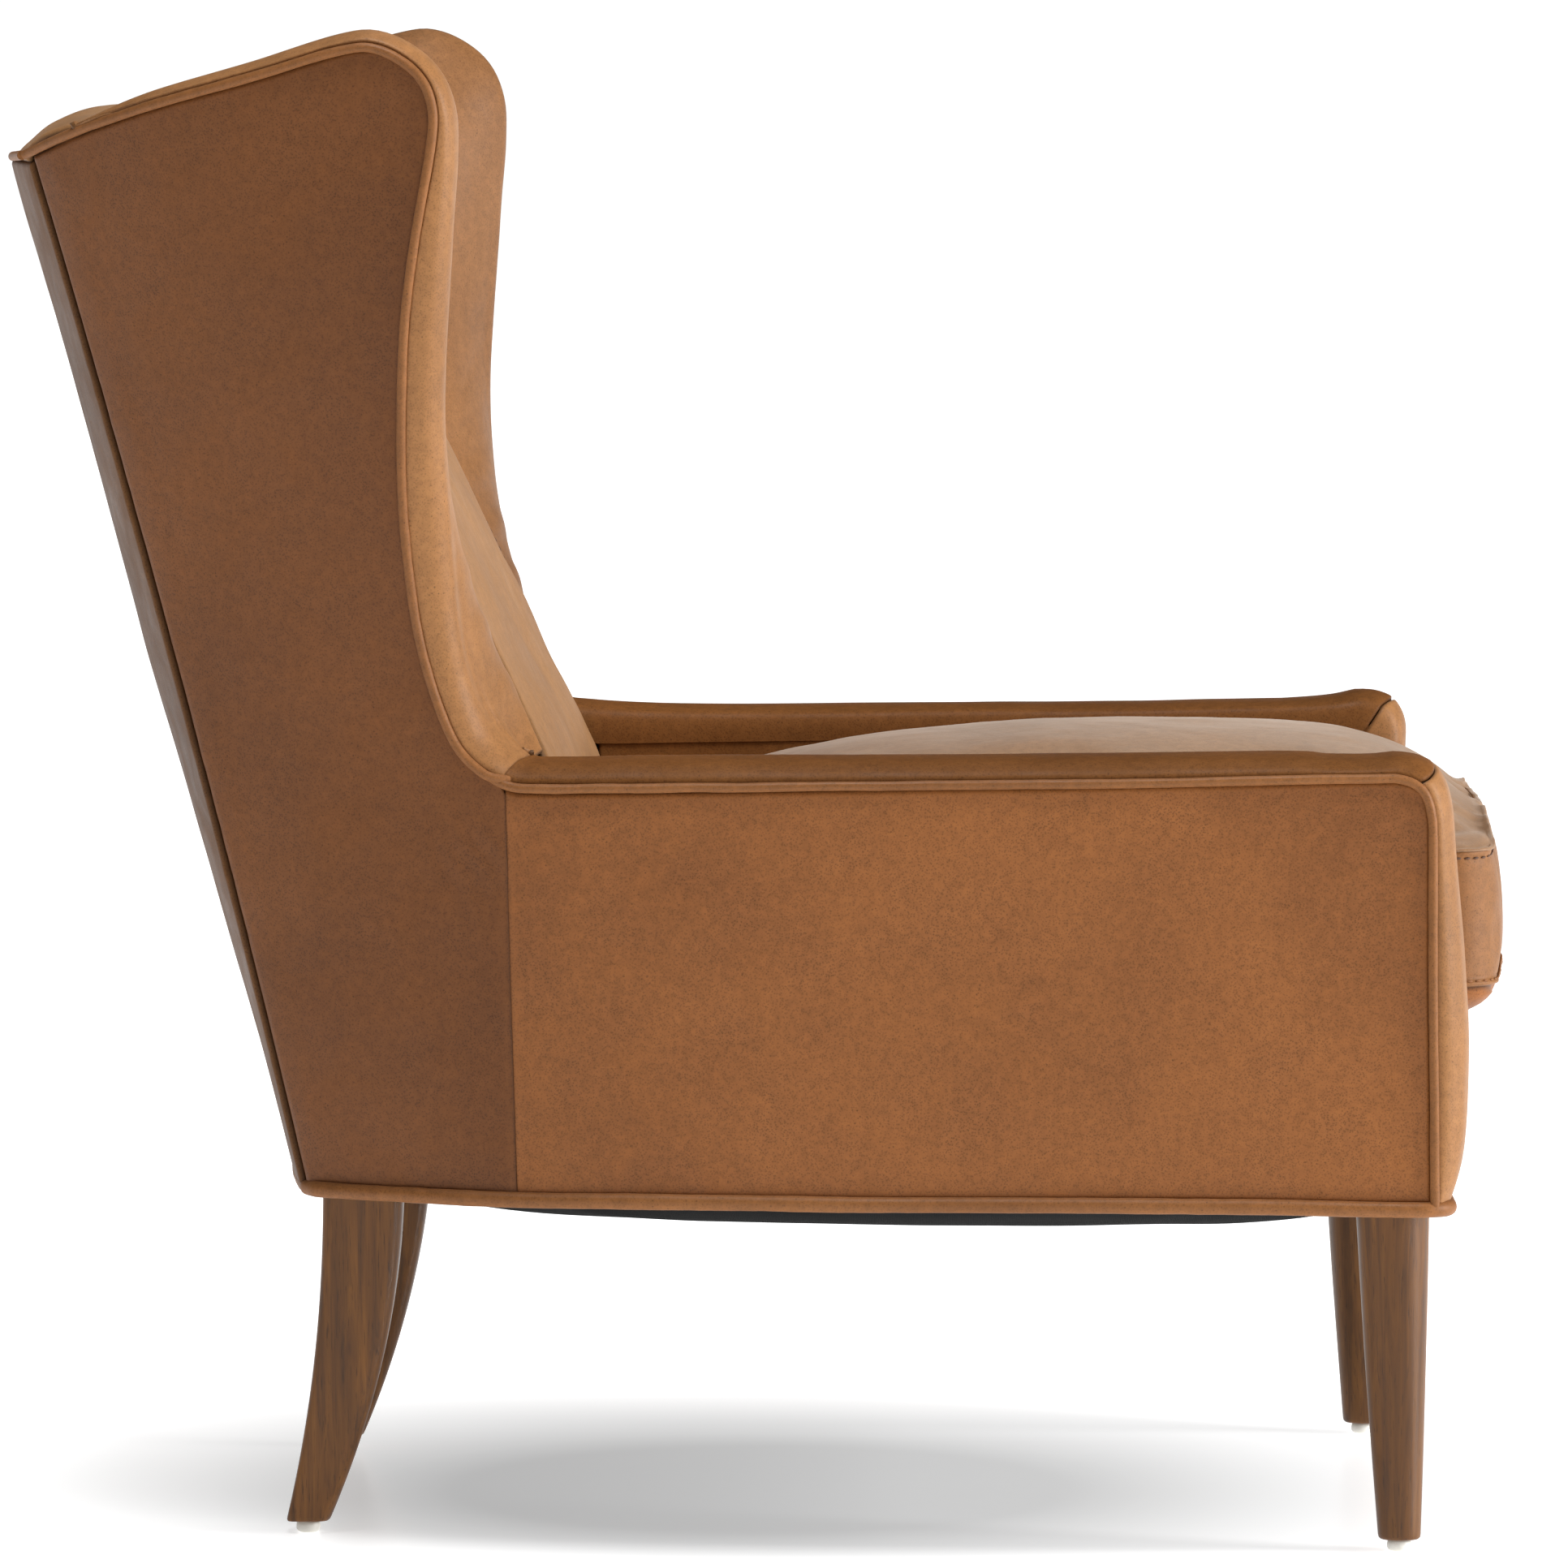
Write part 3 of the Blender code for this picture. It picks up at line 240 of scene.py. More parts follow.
def border_distances(grid):
    """Distance to the first row, last row, first column and last column."""
    d0 = np.linalg.norm(np.diff(grid, axis=0), axis=-1).cumsum(axis=0)
    d0 = np.vstack([np.zeros((1, grid.shape[1])), d0])
    d1 = np.linalg.norm(np.diff(grid, axis=1), axis=-1).cumsum(axis=1)
    d1 = np.hstack([np.zeros((grid.shape[0], 1)), d1])
    return d0, d0[-1:] - d0, d1, d1[:, -1:] - d1


def dress(grid, rolls, wave=0.0009, pull=0.00045, pillow=0.0, seed=1):
    """Rolls the borders in, and adds the waves and pull lines of stretched leather.

    rolls gives a radius for the first row, last row, first column and last column.
    Returns the points and how near each is to a rolled border, from 0 to 1; the leather reads this
    for painted seam shade and worn edges.
    """
    normal = normals_of(grid)
    away = border_distances(grid)
    ends = (grid[:1], grid[-1:], grid[:, :1], grid[:, -1:])
    nearest = np.full(grid.shape[:2], 1.0)
    sink = np.zeros(grid.shape[:2])
    ripple = np.zeros(grid.shape[:2])
    for index, (radius, d, end) in enumerate(zip(rolls, away, ends)):
        if radius <= 0.0:
            continue
        nearest = np.minimum(nearest, d)
        inside = np.clip(1.0 - d / radius, 0.0, 1.0)
        sink = np.maximum(sink, radius * (1.0 - np.sqrt(1.0 - inside ** 2)))
        lines = cloud(np.broadcast_to(end, grid.shape), 0.011, seed + index)
        lines = lines + 0.6 * cloud(np.broadcast_to(end, grid.shape), 0.0055, seed + index + 9)
        strength = 0.5 + 0.5 * cloud(np.broadcast_to(end, grid.shape), 0.06, seed + index + 5)
        ripple += lines * strength * np.exp(-d / 0.013) * ease(d / 0.002)
    open_field = 1.0 - np.exp(-nearest / 0.03)
    lift = wave * cloud(grid, 0.10, seed + 20) * open_field
    lift = lift + 0.3 * wave * cloud(grid, 0.034, seed + 21) * open_field
    lift = lift + pull * ripple + pillow * (1.0 - np.exp(-nearest / 0.022)) - sink
    return grid + normal * lift[..., None], np.exp(-nearest / 0.0032)


# %% [markdown]
# ## From a grid to a mesh
# The grid becomes an outer layer, and a second layer a leather's thickness behind it closes
# the piece, so that it is a real sheet with two faces and an edge.

# %% Build a piece from a grid
LEATHER_THICK = 0.0020


def new_piece(name, points, faces, materials, near=None, slots=None):
    mesh = bpy.data.meshes.new(name)
    mesh.from_pydata(points.tolist(), [], [tuple(f) for f in faces])
    for material in materials:
        mesh.materials.append(material)
    if near is not None:
        attribute = mesh.attributes.new("near_seam", "FLOAT", "POINT")
        attribute.data.foreach_set("value", near.astype(np.float32))
    if slots is not None:
        mesh.polygons.foreach_set("material_index", slots.astype(np.int32))
    mesh.shade_smooth()
    mesh.update()
    obj = bpy.data.objects.new(name, mesh)
    bpy.context.scene.collection.objects.link(obj)
    return obj


def grid_faces(rows, columns, offset=0, flip=False, wrap=False):
    r = np.arange(rows - 1)[:, None]
    c = np.arange(columns if wrap else columns - 1)[None, :]
    after = (c + 1) % columns
    quad = np.stack([r * columns + c, r * columns + after, (r + 1) * columns + after,
                     (r + 1) * columns + c], -1).reshape(-1, 4) + offset
    return quad[:, ::-1] if flip else quad


def cover(name, grid, near, material, thick=LEATHER_THICK):
    """A closed sheet: the grid, a layer behind it, and the edge between them."""
    rows, columns = grid.shape[:2]
    count = rows * columns
    back = grid - normals_of(grid) * thick
    points = np.concatenate([grid.reshape(-1, 3), back.reshape(-1, 3)])
    index = np.arange(count).reshape(rows, columns)
    rim = np.concatenate([index[0, :-1], index[:-1, -1], index[-1, :0:-1], index[:0:-1, 0]])
    after = np.roll(rim, -1)
    edge = np.stack([rim, rim + count, after + count, after], -1)
    faces = np.concatenate([grid_faces(rows, columns), grid_faces(rows, columns, count, True),
                            edge])
    near = np.concatenate([near.ravel(), near.ravel()])
    return new_piece(name, points, faces, [material], near)


def mirrored(grid, sign):
    """The same cover for the sitter's left (+1) or right (-1), still facing outward."""
    if sign > 0:
        return grid
    return grid[:, ::-1] * np.array([-1.0, 1.0, 1.0])


def side_cover(name, sign, grid, rolls, material, seed=1, **extra):
    grid = mirrored(grid, sign)
    if sign < 0:
        rolls = (rolls[0], rolls[1], rolls[3], rolls[2])
        seed += 40
    grid, near = dress(grid, rolls, seed=seed, **extra)
    return cover(name, grid, near, material)


def dressed_on(piece, body, slot, *replaced):
    """Hangs a piece on its body's empty and hides the parts it stands for. slot is not used."""
    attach(piece, body)
    if replaced:
        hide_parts(*replaced)
    return piece


# %% [markdown]
# ## Leather
# This hide is a full-grain, waxed leather: small pebbled cells with darker creases, open
# pores in patches, cloudy colour where the wax has moved, thin pale scratches, and a soft
# bloom at low angles. It could be a scanned picture, but noise in Object coordinates has
# no seams or stretching and works on any piece. Voronoi cells give the pebbles, two noises
# the clouds, stretched noise the scratches. The near_seam attribute paints shade into the
# creases along the seams, and pales the edge just beside them as wear. Sheen stands for the
# bloom.

# %% Leather material
def linear(red, green, blue):
    """A colour given as 0 to 255 on a screen, turned to the light values shaders use."""
    def one(c):
        c /= 255.0
        return c / 12.92 if c <= 0.04045 else ((c + 0.055) / 1.055) ** 2.4
    return (one(red), one(green), one(blue), 1.0)


def new_material(name):
    material = bpy.data.materials.new(name)
    material.use_nodes = True
    tree = material.node_tree
    return material, tree, tree.nodes["Principled BSDF"]


def node(tree, kind, inputs=None, **settings):
    """A node with its settings, its plain values and its links in one call."""
    made = tree.nodes.new(kind)
    for key, value in settings.items():
        setattr(made, key, value)
    for key, value in (inputs or {}).items():
        if isinstance(value, bpy.types.NodeSocket):
            tree.links.new(value, made.inputs[key])
        else:
            made.inputs[key].default_value = value
    return made


def ramp(tree, factor, stops):
    made = node(tree, "ShaderNodeValToRGB", {"Fac": factor})
    band = made.color_ramp
    while len(band.elements) < len(stops):
        band.elements.new(0.5)
    for element, (position, colour) in zip(band.elements, stops):
        element.position = position
        element.color = colour if len(colour) == 4 else (*colour, 1.0)
    return made.outputs["Color"]


def grey(value):
    return (value, value, value, 1.0)


def blended(tree, factor, a, b, mode="MIX"):
    made = tree.nodes.new("ShaderNodeMix")
    made.data_type = "RGBA"
    made.blend_type = mode
    for key, value in (("Factor", factor), ("A", a), ("B", b)):
        socket = next(s for s in made.inputs if s.name == key and s.enabled)
        if isinstance(value, bpy.types.NodeSocket):
            tree.links.new(value, socket)
        else:
            socket.default_value = value
    return next(s for s in made.outputs if s.enabled)


def maths(tree, kind, a, b=0.0, clamp=False):
    made = node(tree, "ShaderNodeMath", {0: a, 1: b}, operation=kind, use_clamp=clamp)
    return made.outputs[0]


def noise(tree, vector, scale, detail=3.0, roughness=0.5, distortion=0.0):
    made = node(tree, "ShaderNodeTexNoise",
                {"Vector": vector, "Scale": scale, "Detail": detail, "Roughness": roughness,
                 "Distortion": distortion})
    return made.outputs["Fac"]


def leather(name, mid, dark, light, seed=0.0, rough=0.50, sheen=0.25, pebble=1.0,
            scratch=0.5, bloom=(0.95, 0.80, 0.66), shine=0.20):
    """One hide of the chair. mid, dark and light are its cloudy colours."""
    material, tree, shader = new_material(name)
    where = node(tree, "ShaderNodeTexCoord").outputs["Object"]
    where = node(tree, "ShaderNodeMapping", {"Vector": where, "Location": (seed, seed, 0.0)}
                 ).outputs[0]
    bend = node(tree, "ShaderNodeTexNoise", {"Vector": where, "Scale": 160.0, "Detail": 2.0})
    bent = node(tree, "ShaderNodeVectorMath", {0: bend.outputs["Color"], "Scale": 0.0024},
                operation="SCALE").outputs[0]
    bent = node(tree, "ShaderNodeVectorMath", {0: where, 1: bent}, operation="ADD").outputs[0]
    cells = node(tree, "ShaderNodeTexVoronoi", {"Vector": bent, "Scale": 690.0},
                 feature="F1").outputs["Distance"]
    small = node(tree, "ShaderNodeTexVoronoi", {"Vector": bent, "Scale": 1500.0},
                 feature="F1").outputs["Distance"]
    pores = node(tree, "ShaderNodeTexVoronoi", {"Vector": where, "Scale": 300.0},
                 feature="F1").outputs["Distance"]
    cloudy = noise(tree, where, 5.0, 5.0, 0.55, 0.3)
    patchy = noise(tree, where, 24.0, 4.0, 0.6, 0.5)
    speckle = noise(tree, where, 160.0, 3.0, 0.6)
    crackle = node(tree, "ShaderNodeTexVoronoi", {
        "Vector": node(tree, "ShaderNodeVectorMath", {0: where, 1: node(
            tree, "ShaderNodeVectorMath", {0: node(tree, "ShaderNodeTexNoise", {
                "Vector": where, "Scale": 26.0, "Detail": 3.0}).outputs["Color"],
                "Scale": 0.055}, operation="SCALE").outputs[0]},
            operation="ADD").outputs[0], "Scale": 34.0},
        feature="DISTANCE_TO_EDGE").outputs["Distance"]
    stretched = node(tree, "ShaderNodeMapping",
                     {"Vector": where, "Rotation": (0.5, 0.0, 0.3), "Scale": (26.0, 26.0, 420.0)}
                     ).outputs[0]
    scratches = noise(tree, stretched, 1.0, 2.0, 0.5, 0.6)

    colour = ramp(tree, cloudy, [(0.30, dark), (0.50, mid), (0.72, light)])
    colour = blended(tree, maths(tree, "MULTIPLY", ramp(tree, patchy, [
        (0.45, grey(0.0)), (0.80, grey(1.0))]), 0.35), colour, light)
    colour = blended(tree, 0.45, colour, ramp(tree, speckle, [
        (0.32, grey(0.38)), (0.68, grey(0.62))]), "OVERLAY")
    veins = maths(tree, "MULTIPLY", ramp(tree, crackle, [(0.0, grey(1.0)), (0.05, grey(0.0))]),
                  ramp(tree, patchy, [(0.42, grey(0.0)), (0.62, grey(0.26))]))
    colour = blended(tree, veins, colour, light)
    crease = ramp(tree, cells, [(0.12, grey(0.30)), (0.50, grey(1.0))])
    fine = ramp(tree, small, [(0.10, grey(0.55)), (0.50, grey(1.0))])
    creased = blended(tree, 0.5, crease, fine, "MULTIPLY")
    strength = ramp(tree, patchy, [(0.35, grey(0.70)), (0.70, grey(0.35))])
    colour = blended(tree, maths(tree, "MULTIPLY", strength, pebble), colour, creased,
                     "MULTIPLY")
    dots = maths(tree, "MULTIPLY", ramp(tree, pores, [(0.10, grey(1.0)), (0.22, grey(0.0))]),
                 ramp(tree, patchy, [(0.46, grey(0.0)), (0.60, grey(0.60))]))
    colour = blended(tree, dots, colour, tuple(c * 0.35 for c in dark[:3]) + (1.0,))
    marks = maths(tree, "MULTIPLY", ramp(tree, scratches, [
        (0.70, grey(0.0)), (0.76, grey(0.5))]), scratch)
    colour = blended(tree, marks, colour, tuple(min(c * 1.25, 1.0) for c in light[:3]) + (1.0,))
    seam = node(tree, "ShaderNodeAttribute", attribute_name="near_seam").outputs["Fac"]
    worn = ramp(tree, seam, [(0.06, grey(0.0)), (0.30, grey(0.30)), (0.58, grey(0.0))])
    colour = blended(tree, worn, colour, light)
    # painted shade: along the seams the colour turns to a very dark brown, standing in for the
    # shade in the creases where covers meet
    shade = ramp(tree, seam, [(0.55, grey(0.0)), (0.97, grey(0.72))])
    colour = blended(tree, shade, colour, tuple(c * 0.22 for c in dark[:3]) + (1.0,))
    tree.links.new(colour, shader.inputs["Base Color"])

    gloss = ramp(tree, patchy, [(0.30, grey(rough - 0.07)), (0.75, grey(rough + 0.10))])
    gloss = blended(tree, marks, gloss, grey(min(rough + 0.2, 1.0)))
    tree.links.new(gloss, shader.inputs["Roughness"])
    shader.inputs["Specular IOR Level"].default_value = shine
    shader.inputs["Sheen Weight"].default_value = sheen
    shader.inputs["Sheen Roughness"].default_value = 0.42
    shader.inputs["Sheen Tint"].default_value = (*bloom, 1.0)

    height = maths(tree, "ADD", maths(tree, "MULTIPLY", crease, 0.55),
                   maths(tree, "MULTIPLY", fine, 0.25))
    height = maths(tree, "ADD", height, maths(tree, "MULTIPLY", speckle, 0.5))
    height = maths(tree, "SUBTRACT", height, maths(tree, "MULTIPLY", dots, 0.6))
    bump = node(tree, "ShaderNodeBump", {"Height": height, "Strength": 0.42 * pebble,
                                         "Distance": 0.00035})
    broad = node(tree, "ShaderNodeBump", {"Height": patchy, "Strength": 0.35,
                                          "Distance": 0.0022,
                                          "Normal": bump.outputs["Normal"]})
    tree.links.new(broad.outputs["Normal"], shader.inputs["Normal"])
    return material


def tones(red, green, blue, spread=0.085):
    """Mid, dark and light tones of one hide."""
    base = np.array([red, green, blue], float)
    dark = base * (1 - spread * np.array([1.0, 1.12, 1.2]))
    light = base * (1 + spread * np.array([1.0, 1.12, 1.2]))
    return linear(*base), linear(*dark), linear(*light)


hide_arm = leather("arm_hide", *tones(136, 84, 43), sheen=0.03)
# The wing panels' hide is a darker tone of the arm panels' hide.
hide_wing = leather("wing_hide", *tones(110, 66, 32), seed=3.1, sheen=0.02)
hide_pad = leather("pad_hide", *tones(146, 101, 60), seed=6.4, sheen=0.08, pebble=0.7)
# painted shade: the wing pad on the sitter's left, the far one, gets a darker copy of the pad
# hide, standing in for shade; the right one uses the pad hide itself
hide_wing_pad = {"left": leather("left_wing_painted_shade_hide", *tones(130, 89, 54), seed=5.2, sheen=0.06,
                                 pebble=0.7), "right": hide_pad}
# painted shade: the arm tops and inside arm panels get a darker copy of the pad hide, standing in
# for the shade on the upper rounding of the arms
hide_arm_top_painted_shade = leather("arm_top_painted_shade_hide", *tones(112, 71, 36), seed=8.2, sheen=0.0, pebble=0.8,
                       shine=0.08)
hide_back = leather("inside_back_hide", *tones(150, 108, 68), seed=9.7, sheen=0.10,
                    shine=0.14, rough=0.56, pebble=0.6)
hide_rear = leather("outside_back_hide", *tones(96, 62, 32), seed=11.5, sheen=0.0, shine=0.10)
hide_welt = leather("welt_hide", *tones(130, 84, 46), seed=14.3, sheen=0.05, pebble=0.6)
hide_seat = leather("seat_hide", *tones(138, 104, 74), seed=17.9, sheen=0.40, rough=0.50,
                    pebble=0.5, bloom=(0.98, 0.90, 0.82))
hide_boxing = leather("boxing_hide", *tones(134, 90, 52), seed=21.1, sheen=0.05, pebble=0.7)
print("hides made:", len([m for m in bpy.data.materials if m.name.endswith("hide")]))

# %% [markdown]
# ## Thread, wood, steel and cloth
# The legs are walnut stained brown: long grain that runs down the leg, fine dark pores in
# the same direction and a thin satin lacquer. Stretching a noise along the leg gives both.
# The hidden frame is pale beech. Thread, nylon, steel, brass, jute, the platform's cloth and
# the black dust cloth each get their own scale of grain or weave.

# %% The other finishes
def bumped(tree, shader, height, strength, distance):
    bump = node(tree, "ShaderNodeBump", {"Height": height, "Strength": strength,
                                         "Distance": distance})
    tree.links.new(bump.outputs["Normal"], shader.inputs["Normal"])


def grained(name, dark, mid, light, stretch, pores, rough, coat=0.0):
    """Wood whose grain runs along Z, X or Y, whichever stretch has its small number on."""
    material, tree, shader = new_material(name)
    where = node(tree, "ShaderNodeTexCoord").outputs["Object"]
    along = node(tree, "ShaderNodeMapping", {"Vector": where, "Scale": stretch}).outputs[0]
    grain = noise(tree, along, 1.0, 6.0, 0.62, 0.9)
    broad = noise(tree, along, 0.22, 2.0, 0.5, 0.4)
    fine_scale = tuple(s * 7.0 for s in stretch)
    fine = node(tree, "ShaderNodeMapping", {"Vector": where, "Scale": fine_scale}).outputs[0]
    pore = noise(tree, fine, 1.0, 2.0, 0.6)
    colour = ramp(tree, grain, [(0.30, dark), (0.50, mid), (0.72, light)])
    colour = blended(tree, maths(tree, "MULTIPLY", ramp(tree, broad, [
        (0.35, grey(0.0)), (0.70, grey(1.0))]), 0.5), colour, dark)
    pits = ramp(tree, pore, [(0.60, grey(0.0)), (0.70, grey(pores))])
    colour = blended(tree, pits, colour, tuple(c * 0.30 for c in dark[:3]) + (1.0,))
    tree.links.new(colour, shader.inputs["Base Color"])
    tree.links.new(ramp(tree, grain, [(0.3, grey(rough - 0.06)), (0.7, grey(rough + 0.08))]),
                   shader.inputs["Roughness"])
    shader.inputs["Coat Weight"].default_value = coat
    shader.inputs["Coat Roughness"].default_value = 0.25
    shader.inputs["Specular IOR Level"].default_value = 0.30
    height = maths(tree, "SUBTRACT", maths(tree, "MULTIPLY", grain, 0.5), pits)
    bumped(tree, shader, height, 0.25, 0.0004)
    return material


def plain_finish(name, low, high, scale, rough, metallic=0.0, stretch=(1.0, 1.0, 1.0),
                 depth=0.0002):
    """Thread, metal or nylon: two close colours, uneven gloss and a fine bump."""
    material, tree, shader = new_material(name)
    where = node(tree, "ShaderNodeTexCoord").outputs["Object"]
    where = node(tree, "ShaderNodeMapping", {"Vector": where, "Scale": stretch}).outputs[0]
    grain = noise(tree, where, scale, 4.0, 0.6)
    tree.links.new(ramp(tree, grain, [(0.35, low), (0.68, high)]), shader.inputs["Base Color"])
    tree.links.new(ramp(tree, grain, [(0.3, grey(rough - 0.08)), (0.7, grey(rough + 0.08))]),
                   shader.inputs["Roughness"])
    shader.inputs["Metallic"].default_value = metallic
    bumped(tree, shader, grain, 0.4, depth)
    return material


def woven(name, low, high, pitch, rough=0.9):
    """Plain weave: two crossed waves, one for each set of yarns."""
    material, tree, shader = new_material(name)
    where = node(tree, "ShaderNodeTexCoord").outputs["Object"]
    waves = [node(tree, "ShaderNodeTexWave", {"Vector": where, "Scale": 0.31 / pitch,
                                              "Distortion": 1.2, "Detail": 1.0,
                                              "Detail Scale": 2.0},
                  bands_direction=axis).outputs["Fac"] for axis in ("X", "Y")]
    weave = maths(tree, "MULTIPLY", waves[0], waves[1])
    colour = ramp(tree, maths(tree, "ADD", maths(tree, "MULTIPLY", weave, 0.7),
                              maths(tree, "MULTIPLY", noise(tree, where, 45.0), 0.4)),
                  [(0.15, low), (0.85, high)])
    tree.links.new(colour, shader.inputs["Base Color"])
    shader.inputs["Roughness"].default_value = rough
    shader.inputs["Specular IOR Level"].default_value = 0.15
    bumped(tree, shader, weave, 0.6, pitch * 0.3)
    return material


walnut = grained("walnut", linear(70, 41, 12), linear(104, 64, 22), linear(130, 84, 34),
                 (150.0, 150.0, 7.0), 0.60, 0.42, 0.05)
beech_long = grained("beech", linear(170, 128, 84), linear(196, 156, 108),
                     linear(214, 178, 132), (4.0, 55.0, 55.0), 0.35, 0.62)
thread_brown = plain_finish("brown_thread", linear(60, 34, 16), linear(96, 58, 30), 2600.0,
                            0.6)
thread_gold = plain_finish("gold_thread", linear(104, 62, 24), linear(150, 94, 40), 2600.0,
                           0.6)
nylon = plain_finish("nylon", linear(226, 223, 214), linear(240, 238, 231), 90.0, 0.42,
                     depth=0.0001)
steel = plain_finish("steel", grey(0.36), grey(0.55), 120.0, 0.34, 1.0,
                     stretch=(1.0, 1.0, 0.2))
brass = plain_finish("zip_metal", linear(118, 92, 58), linear(160, 130, 88), 300.0, 0.35, 1.0)
dust_cloth = woven("dust_cloth", linear(3, 3, 3), linear(13, 13, 13), 0.0011)
deck_cloth = woven("deck_cloth", linear(84, 58, 38), linear(124, 90, 62), 0.0012)
jute = woven("jute", linear(128, 98, 62), linear(176, 142, 98), 0.0024, 0.95)
zip_tape = woven("zip_tape", linear(58, 34, 20), linear(92, 58, 36), 0.0007, 0.8)

# %% [markdown]
# ## Outside arm panels
# The side below the arm is one flat-looking piece of leather on a board. It has four edges:
# the hem, the welt up the arm front, the welt along the arm and a plain vertical seam. A
# patch between those four curves keeps its grid lines parallel to each edge, which is what
# rolled edges and pull lines need. The leather bunches a little just inside the top corner.

# %% Outside arm panels
TUCK = 0.0014            # how far a cover's edge reaches under a welt's middle
WELT_ROLL = 0.0042
SEAM_ROLL = 0.0013
SEAM_FOOT, SEAM_HEAD = (0.1485, 0.2265), (0.1545, 0.4860)


def beside_edge(start, stop, step=0.003):
    """The welt line moved a little into the side covers, between two distances."""
    d = np.linspace(start, stop, max(int((stop - start) / step), 3))
    return place_on(EDGE, d) - side_normal(heading_on(EDGE, d)) * TUCK


def hem_line(y0, y1, count=40):
    y = np.linspace(y0, y1, count)
    return np.stack([y, hem_z(y) + 0.0005], -1)


def on_side(flat, inset=0.0008):
    """Lifts a side-view grid of (y, z) onto the body's left side."""
    y, z = flat[..., 0], flat[..., 1]
    return np.stack([half_width(y, z) - inset, y, z], -1)


def bunched(grid, place, reach, size, depth, seed, tilt=(1.0, 1.0)):
    """Short folds that fade away from a place on a side cover."""
    offset = grid[..., 1:] - np.array(place)
    near = np.exp(-(offset ** 2).sum(-1) / reach ** 2)
    run = offset[..., 0] * tilt[0] + offset[..., 1] * tilt[1]
    wobble = cloud(grid, size * 2.2, seed) * size * 0.9
    folds = np.sin((run + wobble) * 2 * math.pi / size)
    grid = grid.copy()
    grid[..., 0] += depth * folds * near
    return grid


arm_front = beside_edge(0.004, AT_CORNER)
arm_top = beside_edge(AT_CORNER, AT_JOIN)
arm_seam = smooth([SEAM_FOOT, (0.1505, 0.300), (0.1530, 0.400), SEAM_HEAD])
arm_flat = curved_patch(hem_line(arm_front[0, 0], SEAM_FOOT[0]), arm_top, arm_front, arm_seam,
                        spaced(0.57), spaced(0.26))
arm_side = on_side(arm_flat)
arm_side = bunched(arm_side, (-0.395, 0.468), 0.020, 0.0085, 0.00045, 3)
for side, sign in SIDES:
    panel = side_cover("outside_arm_panel_cover_" + side, sign, arm_side,
                       (0.0035, WELT_ROLL, WELT_ROLL, SEAM_ROLL), hide_arm, seed=2,
                       pillow=0.0012)
    dressed_on(panel, CHAIR, "leather_outside", "outside_arm_panel_" + side)
print("arm panel grid:", arm_side.shape[:2])

# %% [markdown]
# ## Outside wing panels
# Behind the vertical seam one tall piece runs from the hem to the top of the wing. Its front
# edge follows the seam and then the wing's welt, its top edge the welt over the wing, and
# its rear edge is the rear corner. Soft upright pulls show where the leather was drawn in
# behind the arm, and one long fold just inside the rear corner.

# %% Outside wing panels
wing_front = np.vstack([arm_seam[:-1] - np.array([0.0010, 0.0]),
                        beside_edge(AT_JOIN + 0.001, AT_PEAK)])
wing_top = beside_edge(AT_PEAK, AT_END)
corner_z = np.linspace(HEM_Z + 0.0005, wing_top[-1, 1], 60)
rear_line = np.stack([rear_edge(corner_z) - 0.0008, corner_z], -1)
wing_hem = hem_line(SEAM_FOOT[0], rear_line[0, 0])
wing_flat = curved_patch(wing_hem, wing_top, wing_front, rear_line, spaced(0.20, 0.0035),
                         spaced(0.70, 0.0042))
wing_side = on_side(wing_flat)
lap = np.exp(-border_distances(wing_side)[2] / 0.008) * ease((0.47 - wing_side[..., 2]) / 0.02)
wing_side[..., 0] += 0.0008 * lap
wing_side = bunched(wing_side, (0.185, 0.445), 0.040, 0.016, 0.00055, 5, tilt=(1.0, -0.2))
wing_side = bunched(wing_side, (0.222, 0.915), 0.016, 0.007, 0.0004, 6, tilt=(0.6, -1.0))
fold = wing_side[..., 1] - (rear_edge(wing_side[..., 2]) - 0.016)
high = ease((wing_side[..., 2] - 0.55) / 0.25)
wing_side[..., 0] += 0.0011 * np.exp(-(fold / 0.008) ** 2) * (0.35 + 0.65 * high)
for side, sign in SIDES:
    panel = side_cover("outside_wing_panel_cover_" + side, sign, wing_side,
                       (0.0035, WELT_ROLL, 0.0016, 0.0090), hide_wing, seed=11,
                       pillow=0.0010)
    dressed_on(panel, CHAIR, "leather_outside", "outside_wing_panel_" + side)
print("wing panel grid:", wing_side.shape[:2])

# %% [markdown]
# ## Arm pads and arm fronts
# The top and the front of the arm are one band of foam under leather, with a seam near the
# front corner. Its section is the same all the way: it leaves the welt, rounds over and
# drops down the inside of the arm. So the section is a short list of points, each given by
# its height above the welt line and its place across the arm, and a curve through them is
# carried along the line.

# %% Sections carried along the welt line
BAND_SECTION = [  # (share of the pad's height, extra height, share across, extra across)
    (0.00, -0.0010, 1.0, -0.0040), (0.00, 0.0020, 1.0, -0.0014), (0.30, 0.0010, 1.0, -0.0022),
    (0.60, 0.0, 1.0, -0.0068), (0.86, 0.0, 1.0, -0.0160), (0.98, 0.0, 1.0, -0.0340),
    (0.99, 0.0, 0.0, 0.0240), (0.80, 0.0, 0.0, 0.0110), (0.45, 0.0, 0.0, 0.0030),
    (0.00, -0.0040, 0.0, 0.0002), (0.00, -0.0140, 0.0, 0.0)]


def section_rows(knots, rows):
    """Reads a section's columns at rows places, close together near its ends."""
    curve = smooth(knots, 8)
    at = rows * (len(curve) - 1)
    return np.stack([np.interp(at, np.arange(len(curve)), curve[:, k])
                     for k in range(curve.shape[1])], -1)


